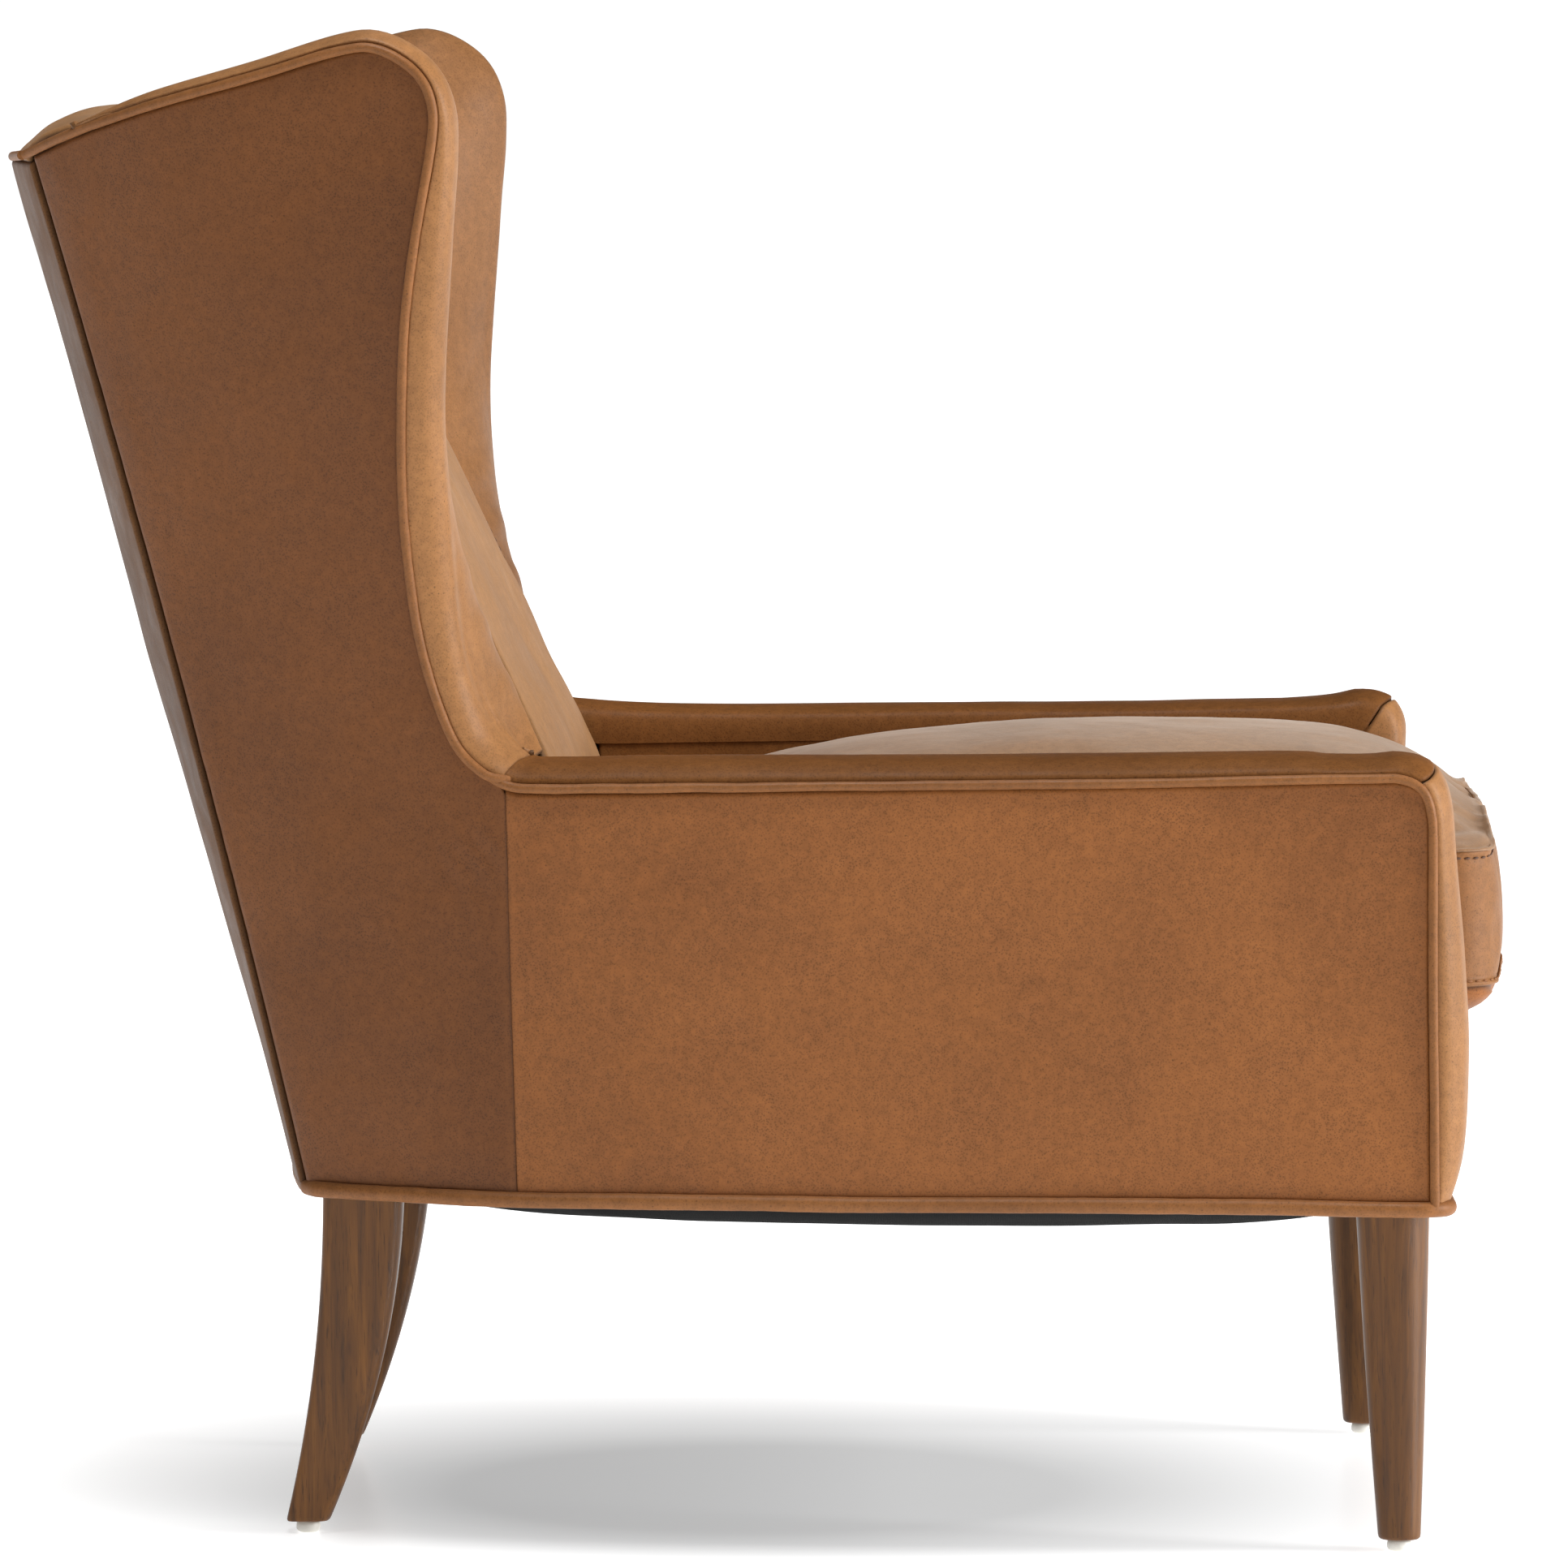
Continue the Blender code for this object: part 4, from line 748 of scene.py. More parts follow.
def band(start, stop, heights, columns, rows, lean=None):
    """A padded band along the welt line; start and stop are distances, or vary across."""
    section = section_rows(BAND_SECTION, rows)
    begin = start(rows) if callable(start) else np.full(len(rows), start)
    end = stop(rows) if callable(stop) else np.full(len(rows), stop)
    d = begin[:, None] + (end - begin)[:, None] * columns[None, :]
    place, normal = place_on(EDGE, d), side_normal(heading_on(EDGE, d, 0.006))
    share = (d - d.min()) / (d.max() - d.min())
    heights = smooth(heights, 10)
    tall = np.interp(share, heights[:, 0], heights[:, 1])
    rise = section[:, None, 0] * tall + section[:, None, 1]
    half = half_width(place[..., 0], place[..., 1])
    x = mix(ARM_INNER_X, half, section[:, None, 2]) + section[:, None, 3]
    y = place[..., 0] + normal[..., 0] * rise
    if lean is not None:
        y = y - lean(share) * (half - x)
    return np.stack([x, y, place[..., 1] + normal[..., 1] * rise], -1)


# %% Arm fronts and arm tops
def corner_seam(rows):
    """The seam at the arm's front corner, which wanders a little as it crosses."""
    return AT_CORNER + 0.0075 - 0.0035 * np.sin(math.pi * np.clip(rows * 1.3, 0, 1))


FRONT_HEIGHTS = [(0.0, 0.0110), (0.12, 0.0205), (0.35, 0.0238), (0.60, 0.0215), (0.78, 0.0172),
                 (0.89, 0.0168), (0.96, 0.0215), (1.0, 0.0232)]
TOP_HEIGHTS = [(0.0, 0.0232), (0.02, 0.0200), (0.05, 0.0158), (0.10, 0.0136),
               (0.16, 0.0134), (0.50, 0.0146), (0.80, 0.0162), (1.0, 0.0170)]
ARM_FULLER = {"left": ((0.00, -0.0045), (0.06, -0.0060), (0.85, -0.0060), (1.0, 0.0)),
              "right": ((0.00, -0.0070), (0.02, -0.0055), (0.05, -0.0035), (0.10, -0.0010),
                        (0.16, 0.0014), (0.85, 0.0014), (1.0, 0.0))}
FRONT_LOWER = {"left": (0.0045, 0.55, 0.35), "right": (0.0070, 0.84, 0.16)}


def fuller(side, heights):
    """One arm is stuffed a little fuller than the other."""
    shares, extra = zip(*ARM_FULLER[side])
    return [(s, h + float(np.interp(s, shares, extra))) for s, h in heights]


across = spaced(0.13, 0.0030, 0.0007, 0.014)
for side, sign in SIDES:
    drop, begin, over = FRONT_LOWER[side]
    front_grid = band(0.003, corner_seam,
                      [(s, h - drop * float(ease((s - begin) / over))) for s, h in FRONT_HEIGHTS],
                      spaced(0.26, 0.0040), across)
    top_grid = band(corner_seam, AT_JOIN + 0.0045, fuller(side, TOP_HEIGHTS),
                    spaced(0.58, 0.0045), across,
                    lean=lambda share: 0.34 * ease((share - 0.80) / 0.2))
    facing = side_cover("arm_front_facing_cover_" + side, sign, front_grid,
                        (0.0, 0.0, 0.003, 0.0032), hide_pad, seed=23, wave=0.0012)
    dressed_on(facing, CHAIR, "leather_pad", "arm_front_facing_" + side)
    pad = side_cover("arm_pad_cover_" + side, sign, top_grid, (0.0, 0.0, 0.0026, 0.0030),
                     hide_arm_top_painted_shade, seed=27, wave=0.0008, pull=0.0006)
    dressed_on(pad, CHAIR, "leather_pad", "arm_pad_" + side)
    print("arm band", side, front_grid.shape[:2], top_grid.shape[:2])

# %% [markdown]
# ## Inside arm panels
# Down inside the arm a flat panel closes the well that the cushion drops into. Only its top
# shows above the cushion, until the cushion is lifted.

# %% Inside arm panels
ys = mix(-0.4135, 0.1150, spaced(0.53, 0.006))
zs = mix(0.2960, 0.4860, spaced(0.19, 0.006))
inside_grid = np.stack(np.broadcast_arrays(ARM_INNER_X + 0.0012, ys[None, ::-1],
                                           zs[:, None]), -1)
for side, sign in SIDES:
    panel = side_cover("inside_arm_panel_cover_" + side, sign, inside_grid,
                       (0.002, 0.003, 0.003, 0.003), hide_arm_top_painted_shade, seed=31, wave=0.0005,
                       pull=0.0003)
    dressed_on(panel, CHAIR, "leather_pad", "inside_arm_panel_" + side)
print("inside arm panel grid:", inside_grid.shape[:2])

# %% [markdown]
# ## Wing pads
# Each wing has a thick pad that starts at the welt, rounds over the wing's front edge and
# runs inward to a seam against the back. The section changes all the way up, so it is
# rebuilt at each place on the welt line from a small table: the pad's height there, and
# where the inner seam is. The leather has long diagonal pulls low down, where it turns
# from the wing to the arm.

# %% Wing pads
WING_TABLE = [  # share of the wing's edge, pad height, inner seam (x, y, z)
    (0.00, .0172, .2620, .1320, .5060), (0.06, .0210, .2490, .1390, .5200),
    (0.14, .0260, .2410, .1520, .5450), (0.24, .0290, .2400, .1790, .6020),
    (0.34, .0260, .2400, .2060, .6580), (0.44, .0250, .2410, .2340, .7160),
    (0.53, .0195, .2450, .2640, .7740), (0.61, .0130, .2510, .2930, .8220),
    (0.68, .0108, .2580, .3180, .8560), (0.76, .0097, .2680, .3460, .8820),
    (0.84, .0090, .2820, .3720, .8980), (0.89, .0078, .2930, .3860, .9030),
    (0.945, .0042, .3045, .4130, .9010)]
WING_LENGTH = AT_END - AT_JOIN
wing_curve = smooth(WING_TABLE, 10)
print("wing edge: %.3f m" % WING_LENGTH)


def wing_row(column, share):
    return np.interp(share, wing_curve[:, 0], wing_curve[:, column])


def wing_section(columns, rows):
    share = columns * WING_TABLE[-1][0]
    d = AT_JOIN + 0.0012 + share * (WING_LENGTH - 0.0012)
    place, normal = place_on(EDGE, d), side_normal(heading_on(EDGE, d, 0.007))
    half = half_width(place[:, 0], place[:, 1])
    tall = wing_row(1, share)
    seam = np.stack([wing_row(k, share) for k in (2, 3, 4)], -1)
    slim = np.minimum(1.0, (half - seam[:, 0]) / 0.070)

    def raised(distance, inset):
        return np.stack([half - inset * slim, place[:, 0] + normal[:, 0] * distance,
                         place[:, 1] + normal[:, 1] * distance], -1)
    cap = [raised(-0.0010, 0.0040), raised(0.0022, 0.0018), raised(0.0045, 0.0008),
           raised(0.62 * tall, 0.0035), raised(0.92 * tall, 0.0120), raised(tall, 0.0260)]
    shoulder = raised(0.55 * tall, 0.0480)
    straight = mix(cap[-1], seam, 0.45)
    shoulder[:, 1] = np.minimum(shoulder[:, 1], straight[:, 1])
    knots = cap + [(1 - t) ** 2 * cap[-1] + 2 * t * (1 - t) * shoulder + t * t * seam
                   for t in (0.2, 0.4, 0.6, 0.8, 1.0)]
    dense = smooth(np.array(knots).reshape(len(knots), -1), 8)
    at = rows * (len(dense) - 1)
    low = np.clip(np.floor(at).astype(int), 0, len(dense) - 2)
    t = (at - low)[:, None]
    return (dense[low] * (1 - t) + dense[low + 1] * t).reshape(len(rows), len(columns), 3)


def wing_grid(columns, rows):
    """The wing's sections, bent at the foot so that they start where the arm pad ends."""
    grid = wing_section(columns, rows)
    arm_end = band(AT_JOIN - 0.30, AT_JOIN + 0.0010, [(0.0, 0.0150), (1.0, 0.0170)],
                   np.array([0.0, 1.0]), rows, lean=lambda share: 0.34 * share)[:, -1:]
    outer = 1.0 - ease((rows - 0.50) / 0.40)
    fade = (1.0 - ease(columns / 0.13))[None, :, None] * outer[:, None, None]
    return grid + (arm_end - grid[:, :1]) * fade


def drawn(grid, seed):
    """Long soft folds that fan out from the foot of the wing."""
    height = grid[..., 2]
    low = ease((0.80 - height) / 0.22) * ease((height - 0.52) / 0.05)
    run = (grid[..., 1] * 0.75 + height * 0.42) / 0.030
    lines = np.sin(2 * math.pi * (run + 0.35 * cloud(grid, 0.09, seed)))
    inward = ease((0.318 - np.abs(grid[..., 0])) / 0.05)
    return grid + normals_of(grid) * (0.0011 * np.maximum(lines, -0.3) * low * inward
                                      )[..., None]


wing_pad_grid = wing_grid(spaced(0.72, 0.0042), spaced(0.17, 0.0032))
for side, sign in SIDES:
    piece = side_cover("wing_pad_cover_" + side, sign, drawn(wing_pad_grid, 7),
                       (0.0, 0.0040, 0.0022, 0.0030), hide_wing_pad[side], seed=35, wave=0.0006,
                       pull=0.0005)
    dressed_on(piece, CHAIR, "leather_pad", "wing_pad_" + side)
print("wing pad grid:", wing_pad_grid.shape[:2])

# %% [markdown]
# ## The inside back
# One wide pad fills the space between the wings, from the seat platform up and over the
# crest to the welt at the rear. Its rows run from seam to seam. Each is given by its middle
# and by its end, and the ends repeat the points of the wing pads' inner seam, so the two
# covers share their seam.

# %% The inside back
BACK_ROWS = [  # middle (y, z), end (x, y, z), how square the row is, extra fullness
    (.1000, .3180, .2660, .1000, .3180, 4.0, .002), (.1020, .3900, .2660, .1020, .3900, 4.0, .004),
    (.1120, .4560, .2660, .1120, .4560, 4.0, .006), (.1240, .4880, .2655, .1240, .4880, 4.0, .006),
    (.1335, .5100, .2570, .1345, .5100, 4.0, .006), (.1520, .5450, .2410, .1520, .5450, 4.0, .006),
    (.1790, .6020, .2400, .1790, .6020, 4.0, .006), (.2060, .6580, .2400, .2060, .6580, 4.0, .006),
    (.2340, .7160, .2410, .2340, .7160, 4.0, .006), (.2640, .7740, .2450, .2640, .7740, 4.0, .006),
    (.2930, .8220, .2510, .2930, .8220, 4.0, .006), (.3180, .8560, .2580, .3180, .8560, 3.6, .006),
    (.3460, .8805, .2680, .3460, .8820, 3.2, .005), (.3740, .8975, .2820, .3720, .8980, 3.0, .004),
    (.4020, .9048, .2930, .3860, .9030, 2.8, .003), (.4280, .9050, .3045, .4130, .9010, 2.6, .002),
    (.4515, .8982, .2890, .4380, .8950, 2.5, .001), (.4680, .8865, .2760, .4500, .8880, 2.4, .000),
    (.4765, .8790, .2660, .4560, .8810, 2.2, .000), (.4775, .8735, .2620, .4570, .8750, 2.2, .000)]


def back_grid(columns, rows):
    table = section_rows(BACK_ROWS, rows)
    u = np.abs(columns)[None, :]
    power = table[:, None, 5]
    bend = u ** power
    full = table[:, None, 6] * (1.0 - u ** 4)
    my, mz, ex, ey, ez = (table[:, None, k] for k in range(5))
    lean = np.gradient(table[:, 0]), np.gradient(table[:, 1])
    size = np.hypot(*lean)[:, None]
    y = mix(my, ey, bend) - full * lean[1][:, None] / size
    z = mix(mz, ez, bend) + full * lean[0][:, None] / size
    x = ex * columns[None, :] * np.ones_like(y)
    return np.stack([x, y, z], -1)


back_pad_grid = back_grid(2.0 * spaced(0.52, 0.0050) - 1.0, spaced(0.72, 0.0048))
run_z = back_pad_grid[..., 2]
soft = np.sin(2 * math.pi * ((back_pad_grid[..., 0] * 0.5 + run_z) / 0.085
                             + 0.5 * cloud(back_pad_grid, 0.16, 4)))
band_mask = ease((run_z - 0.50) / 0.06) * ease((0.80 - run_z) / 0.12)
sides_mask = 1.0 - np.exp(-((0.245 - np.abs(back_pad_grid[..., 0])) / 0.05) ** 2)
back_pad_grid = back_pad_grid + normals_of(back_pad_grid) * (
    0.0011 * soft * band_mask * sides_mask)[..., None]
back_dressed, near = dress(back_pad_grid, (0.0, 0.004, 0.0055, 0.0055), wave=0.0016,
                           pull=0.0006, seed=45)
# painted shade: the near_seam band is widened along both sides below about z 0.64, so the groove
# between the wing pads and the back is painted dark
beside = np.minimum(*border_distances(back_pad_grid)[2:])
near = np.maximum(near, np.exp(-beside / 0.011) * ease((0.640 - back_pad_grid[..., 2]) / 0.03))
inside_back = cover("inside_back_cover", back_dressed, near, hide_back)
dressed_on(inside_back, CHAIR, "leather_pad", "inside_back_pad")
print("inside back grid:", back_pad_grid.shape[:2])

# %% [markdown]
# ## The outside back
# The rear of the chair is one bowed cover from the hem to the rear welt. Its two long edges
# turn in at the rear corners against the side covers.

# %% The outside back
columns = 2.0 * spaced(0.50, 0.0055) - 1.0
heights = mix(HEM_Z + 0.0005, 0.8745, spaced(0.66, 0.0055))
zz = heights[:, None] * np.ones_like(columns)[None, :]
yy = rear_edge(zz) + (back_crown(zz) - 0.0045) * (1.0 - np.abs(columns)[None, :] ** 2.2)
rear_grid = np.stack([-columns[None, :] * (corner_half(zz) - 0.0006), yy, zz], -1)
dressed, near = dress(rear_grid, (0.0035, 0.004, 0.0045, 0.0045), wave=0.0010, pillow=0.0006,
                      seed=51)
outside_back = cover("outside_back_cover", dressed, near, hide_rear)
dressed_on(outside_back, CHAIR, "leather_outside", "outside_back_panel")
print("outside back grid:", rear_grid.shape[:2])

# %% [markdown]
# ## The cover on the front rail
# Below the cushion a padded strip of leather covers the front rail and turns over onto the
# seat platform.

# %% Front rail cover and seat platform
ups = spaced(0.095, 0.0040)
xs = 2.0 * spaced(0.53, 0.006) - 1.0
rail_knots = [(-0.4320, hem_z(-0.43) + 0.0005), (-0.4395, 0.2500), (-0.4405, 0.2760),
              (-0.4360, 0.3020), (-0.4260, 0.3160), (-0.4080, 0.3212), (-0.3600, 0.3218)]
rail = section_rows(rail_knots, ups)
rail_grid = np.stack([xs[None, :] * 0.2672 * np.ones((len(ups), 1)),
                      rail[:, None, 0] * np.ones_like(xs), rail[:, None, 1] * np.ones_like(xs)],
                     -1)
dressed, near = dress(rail_grid, (0.003, 0.0, 0.003, 0.003), seed=57)
rail_cover = cover("front_rail_leather", dressed, near, hide_pad)
dressed_on(rail_cover, CHAIR, "leather_pad", "front_rail_cover")

deck_rows = mix(-0.3590, 0.0940, spaced(0.45, 0.010, 0.002))
deck_grid = np.stack([xs[None, :] * 0.2668 * np.ones((len(deck_rows), 1)),
                      deck_rows[:, None] * np.ones_like(xs),
                      0.3212 * np.ones((len(deck_rows), len(xs)))], -1)
dressed, near = dress(deck_grid, (0.002, 0.002, 0.002, 0.002), wave=0.0006, seed=58)
deck = cover("seat_platform_cloth", dressed, near, deck_cloth)
dressed_on(deck, CHAIR, "deck_cloth", "deck_pad")
print("front rail and platform:", rail_grid.shape[:2], deck_grid.shape[:2])

# %% [markdown]
# ## Welts
# A welt is a cord wrapped in a strip of leather and sewn between two covers. A bevelled
# curve would be a perfectly even tube, and a hand-made one is not. A Geometry Nodes tree
# follows the line instead: it resamples it, varies the radius with noise, sweeps a circle
# along it and sets the finish. The same tree makes all the welts, thin or thick.

# %% A tree that sweeps a cord along a line
def new_tree(name, inputs):
    """An empty Geometry Nodes tree with named inputs: (name, kind, value)."""
    tree = bpy.data.node_groups.new(name, "GeometryNodeTree")
    tree.interface.new_socket("Geometry", in_out="INPUT", socket_type="NodeSocketGeometry")
    for label, kind, value in inputs:
        socket = tree.interface.new_socket(label, in_out="INPUT", socket_type=kind)
        if value is not None:
            socket.default_value = value
    tree.interface.new_socket("Geometry", in_out="OUTPUT", socket_type="NodeSocketGeometry")
    return tree, tree.nodes.new("NodeGroupInput"), tree.nodes.new("NodeGroupOutput")


def resampled(tree, given, step):
    """The line that comes in, with its points an even step apart."""
    line = node(tree, "GeometryNodeMeshToCurve", {"Mesh": given.outputs["Geometry"]})
    even = node(tree, "GeometryNodeResampleCurve", {"Curve": line.outputs[0]})
    if hasattr(even, "mode"):
        even.mode = "LENGTH"
    tree.links.new(given.outputs[step], even.inputs["Length"])
    return even.outputs[0]


def finished(tree, given, out, geometry):
    """Makes the instances real, sets the finish and ends the tree."""
    real = node(tree, "GeometryNodeRealizeInstances", {"Geometry": geometry})
    done = node(tree, "GeometryNodeSetMaterial", {"Geometry": real.outputs[0],
                                                  "Material": given.outputs["Finish"]})
    tree.links.new(done.outputs[0], out.inputs[0])
    return tree


def cord_tree():
    tree, given, out = new_tree("cord along a line", [
        ("Radius", "NodeSocketFloat", 0.003), ("Unevenness", "NodeSocketFloat", 0.05),
        ("Step", "NodeSocketFloat", 0.003), ("Sides", "NodeSocketInt", 14),
        ("Seed", "NodeSocketFloat", 0.0), ("Finish", "NodeSocketMaterial", None)])
    even = resampled(tree, given, "Step")
    random = node(tree, "ShaderNodeTexNoise", {"W": given.outputs["Seed"], "Scale": 60.0,
                                               "Detail": 1.0}, noise_dimensions="4D")
    swing = maths(tree, "MULTIPLY", maths(tree, "SUBTRACT", random.outputs[0], 0.5),
                  given.outputs["Unevenness"])
    size = maths(tree, "ADD", maths(tree, "MULTIPLY", swing, 2.0), 1.0)
    sized = node(tree, "GeometryNodeSetCurveRadius", {"Curve": even, "Radius": size})
    ring = node(tree, "GeometryNodeCurvePrimitiveCircle",
                {"Radius": given.outputs["Radius"], "Resolution": given.outputs["Sides"]})
    swept = node(tree, "GeometryNodeCurveToMesh",
                 {"Curve": sized.outputs[0], "Profile Curve": ring.outputs[0],
                  "Fill Caps": True})
    if "Scale" in swept.inputs:
        tree.links.new(size, swept.inputs["Scale"])
    shaded = node(tree, "GeometryNodeSetShadeSmooth", {"Geometry": swept.outputs[0]})
    return finished(tree, given, out, shaded.outputs[0])


def grown(name, line, tree, closed=False, **settings):
    """Runs a tree on a line of points and keeps the result as a plain mesh."""
    line = np.asarray(line, float)
    edges = [(k, k + 1) for k in range(len(line) - 1)] + ([(len(line) - 1, 0)] if closed else [])
    mesh = bpy.data.meshes.new(name + "_line")
    mesh.from_pydata(line.tolist(), edges, [])
    obj = bpy.data.objects.new(name, mesh)
    bpy.context.scene.collection.objects.link(obj)
    modifier = obj.modifiers.new("grow", "NODES")
    modifier.node_group = tree
    for item in tree.interface.items_tree:
        if item.in_out == "INPUT" and item.name in settings:
            modifier[item.identifier] = settings[item.name]
    seen = bpy.context.evaluated_depsgraph_get()
    plain = bpy.data.meshes.new_from_object(obj.evaluated_get(seen), depsgraph=seen)
    plain.name = name
    obj.modifiers.remove(modifier)
    obj.data = plain
    return obj


CORD = cord_tree()
WELT_RADIUS, HEM_RADIUS = 0.0030, 0.0050
print("tree ready:", CORD.name)

# %% [markdown]
# ## Laying the welts
# The arm's welt ends under the wing's welt, where the two overlap by a couple of
# centimetres. The hem welt is thicker and goes all the way round the foot of the body.

# %% Side, rear and hem welts
def welt_line(start, stop, out=0.0006, seed=0):
    d = np.linspace(start, stop, int((stop - start) / 0.003))
    place = place_on(EDGE, d)
    x = half_width(place[:, 0], place[:, 1]) + out
    line = np.stack([x, place[:, 0], place[:, 1]], -1)
    return line + 0.0003 * np.stack([cloud(line, 0.030, seed + k) for k in range(3)], -1)


for side, sign in SIDES:
    flip = np.array([sign, 1.0, 1.0])
    arm_line = welt_line(0.002, AT_JOIN + 0.012)
    arm_line[-9:, 0] -= np.linspace(0.0, 0.0040, 9)
    wing_line = welt_line(AT_JOIN - 0.006, AT_END - 0.001)
    dip = np.linspace(1.0, 0.0, 7)
    wing_line[:7, 0] -= 0.0060 * dip ** 2
    wing_line[:7, 2] += 0.0045 * dip
    for part, line in (("arm", arm_line), ("wing", wing_line)):
        welt = grown(f"{part}_welt_{side}", line * flip, CORD, Radius=WELT_RADIUS,
                     Unevenness=0.10, Finish=hide_welt, Seed=sign)
        dressed_on(welt, CHAIR, "leather_welt", "side_welt_" + side)

u = np.linspace(-1.0, 1.0, 150)
rear_y = mix(0.4808, 0.4590, np.abs(u) ** 2.2)
rear_welt = grown("rear_welt", np.stack([u * 0.2645, rear_y, 0.8760 + 0.0030 * np.abs(u) ** 2.2],
                                        -1), CORD, Radius=WELT_RADIUS, Unevenness=0.10,
                  Finish=hide_welt, Seed=5.0)
dressed_on(rear_welt, CHAIR, "leather_welt", "back_welt")


def hem_loop():
    """Down one side, across the rear, up the other side and across the front."""
    front_y, turn = -0.4355, 0.020
    y = np.linspace(front_y + turn, 0.2765, 110)
    x = half_width(y, HEM_Z) + 0.0015
    angle = np.radians(np.linspace(0.0, 90.0, 12))[:-1]
    corner = np.stack([x[0] - turn * (1 - np.sin(angle)),
                       front_y + turn * (1 - np.cos(angle))], -1)
    u = np.linspace(1.0, -1.0, 90)[1:-1]
    rear_half = x[-1] - 0.0050
    rear = np.stack([u * rear_half, 0.2818 + 0.0170 * (1 - np.abs(u) ** 2.2)], -1)
    left = np.vstack([corner, np.stack([x, y], -1)])
    right = left[::-1] * np.array([-1.0, 1.0])
    front = np.stack([np.linspace(-(x[0] - turn), x[0] - turn, 90)[1:-1],
                      np.full(88, front_y)], -1)
    loop = np.vstack([left, rear, right, front])
    return np.column_stack([loop, hem_z(loop[:, 1])])


hem_line_points = hem_loop()
hem_line_points += 0.0005 * np.stack([cloud(hem_line_points, 0.07, 60 + k) for k in range(3)], -1)
hem = grown("hem_welt_cord", hem_line_points, CORD, closed=True, Radius=HEM_RADIUS,
            Unevenness=0.09, Sides=18, Finish=hide_welt, Seed=9.0)
dressed_on(hem, CHAIR, "leather_welt", "hem_welt")
print("welts:", len(hem.data.polygons), "faces in the hem")

# %% [markdown]
# ## Stitches
# Topstitching is the same small thread shape repeated every few millimetres along a line,
# which is what instancing is for. The tree resamples the line, turns a small rounded thread
# along it, varies each one slightly with a fixed seed and makes them real.

# %% A tree that sews along a line
def stitch_tree():
    tree, given, out = new_tree("stitches along a line", [
        ("Pitch", "NodeSocketFloat", 0.006), ("Stitch Length", "NodeSocketFloat", 0.0044),
        ("Thread Radius", "NodeSocketFloat", 0.00045), ("Seed", "NodeSocketInt", 1),
        ("Finish", "NodeSocketMaterial", None)])
    even = resampled(tree, given, "Pitch")
    tangent = node(tree, "GeometryNodeInputTangent")
    turned = node(tree, "FunctionNodeAlignRotationToVector",
                  {"Vector": tangent.outputs[0]}, axis="Z")
    ball = node(tree, "GeometryNodeMeshUVSphere", {"Segments": 6, "Rings": 5, "Radius": 1.0})
    smooth_ball = node(tree, "GeometryNodeSetShadeSmooth", {"Geometry": ball.outputs[0]})
    half = maths(tree, "MULTIPLY", given.outputs["Stitch Length"], 0.5)
    size = node(tree, "ShaderNodeCombineXYZ", {"X": given.outputs["Thread Radius"],
                                               "Y": given.outputs["Thread Radius"], "Z": half})
    vary = node(tree, "FunctionNodeRandomValue", {"Seed": given.outputs["Seed"]},
                data_type="FLOAT")
    floats = [s for s in vary.inputs if s.enabled and s.type == "VALUE"]
    floats[0].default_value, floats[1].default_value = 0.88, 1.10
    changed = next(s for s in vary.outputs if s.enabled)
    scaled = node(tree, "ShaderNodeVectorMath", {0: size.outputs[0], "Scale": changed},
                  operation="SCALE")
    placed = node(tree, "GeometryNodeInstanceOnPoints",
                  {"Points": even, "Instance": smooth_ball.outputs[0],
                   "Rotation": turned.outputs[0], "Scale": scaled.outputs[0]})
    return finished(tree, given, out, placed.outputs[0])


STITCH = stitch_tree()


def line_inside(grid, away, lift, keep):
    """A line on a dressed grid that runs a fixed distance inside its last column."""
    pick = np.argmin(np.abs(border_distances(grid)[3] - away), axis=1)
    rows = np.arange(len(grid))
    line = grid[rows, pick] + normals_of(grid)[rows, pick] * lift
    line = line[int(keep[0] * len(line)):int(keep[1] * len(line))]
    for _ in range(4):
        line[1:-1] = 0.25 * line[:-2] + 0.5 * line[1:-1] + 0.25 * line[2:]
    return line


STITCH_PITCH = 0.0066
line = line_inside(back_dressed, away=0.0085, lift=0.0004, keep=(0.30, 0.78))
sewn = grown("inside_back_stitches", line, STITCH, Pitch=STITCH_PITCH, Finish=thread_brown,
             Seed=3, **{"Stitch Length": 0.0044, "Thread Radius": 0.00080})
dressed_on(sewn, CHAIR, "leather_pad")
print("inside back stitches done")

# %% [markdown]
# ## The loose cushion
# The cushion is foam in a leather cover of three parts: a crowned top, a band called the
# boxing, and a bottom. Drawn by hand it looks inflated or stiff. So a slightly smaller
# cushion is remeshed evenly, held along its two seams and blown up with a cloth simulation,
# which rounds the panels and lets the leather wrinkle where it is short. A clean mesh with
# rows along the seams is then laid onto the result, so the seams can be sharp. Gravity is
# off, because the foam carries the weight.

# %% The cushion's first shape
CUSHION_HALF, CUSHION_FRONT, CUSHION_REAR = 0.2650, -0.4680, 0.0925
CUSHION_NOSE, CUSHION_TURN, CUSHION_MID_Y = 0.0158, 0.030, -0.19
LOW_SEAM_Z, HIGH_SEAM_Z, CUSHION_FOOT = 0.3560, 0.4440, 0.3229
CROWN_Z = 0.5055


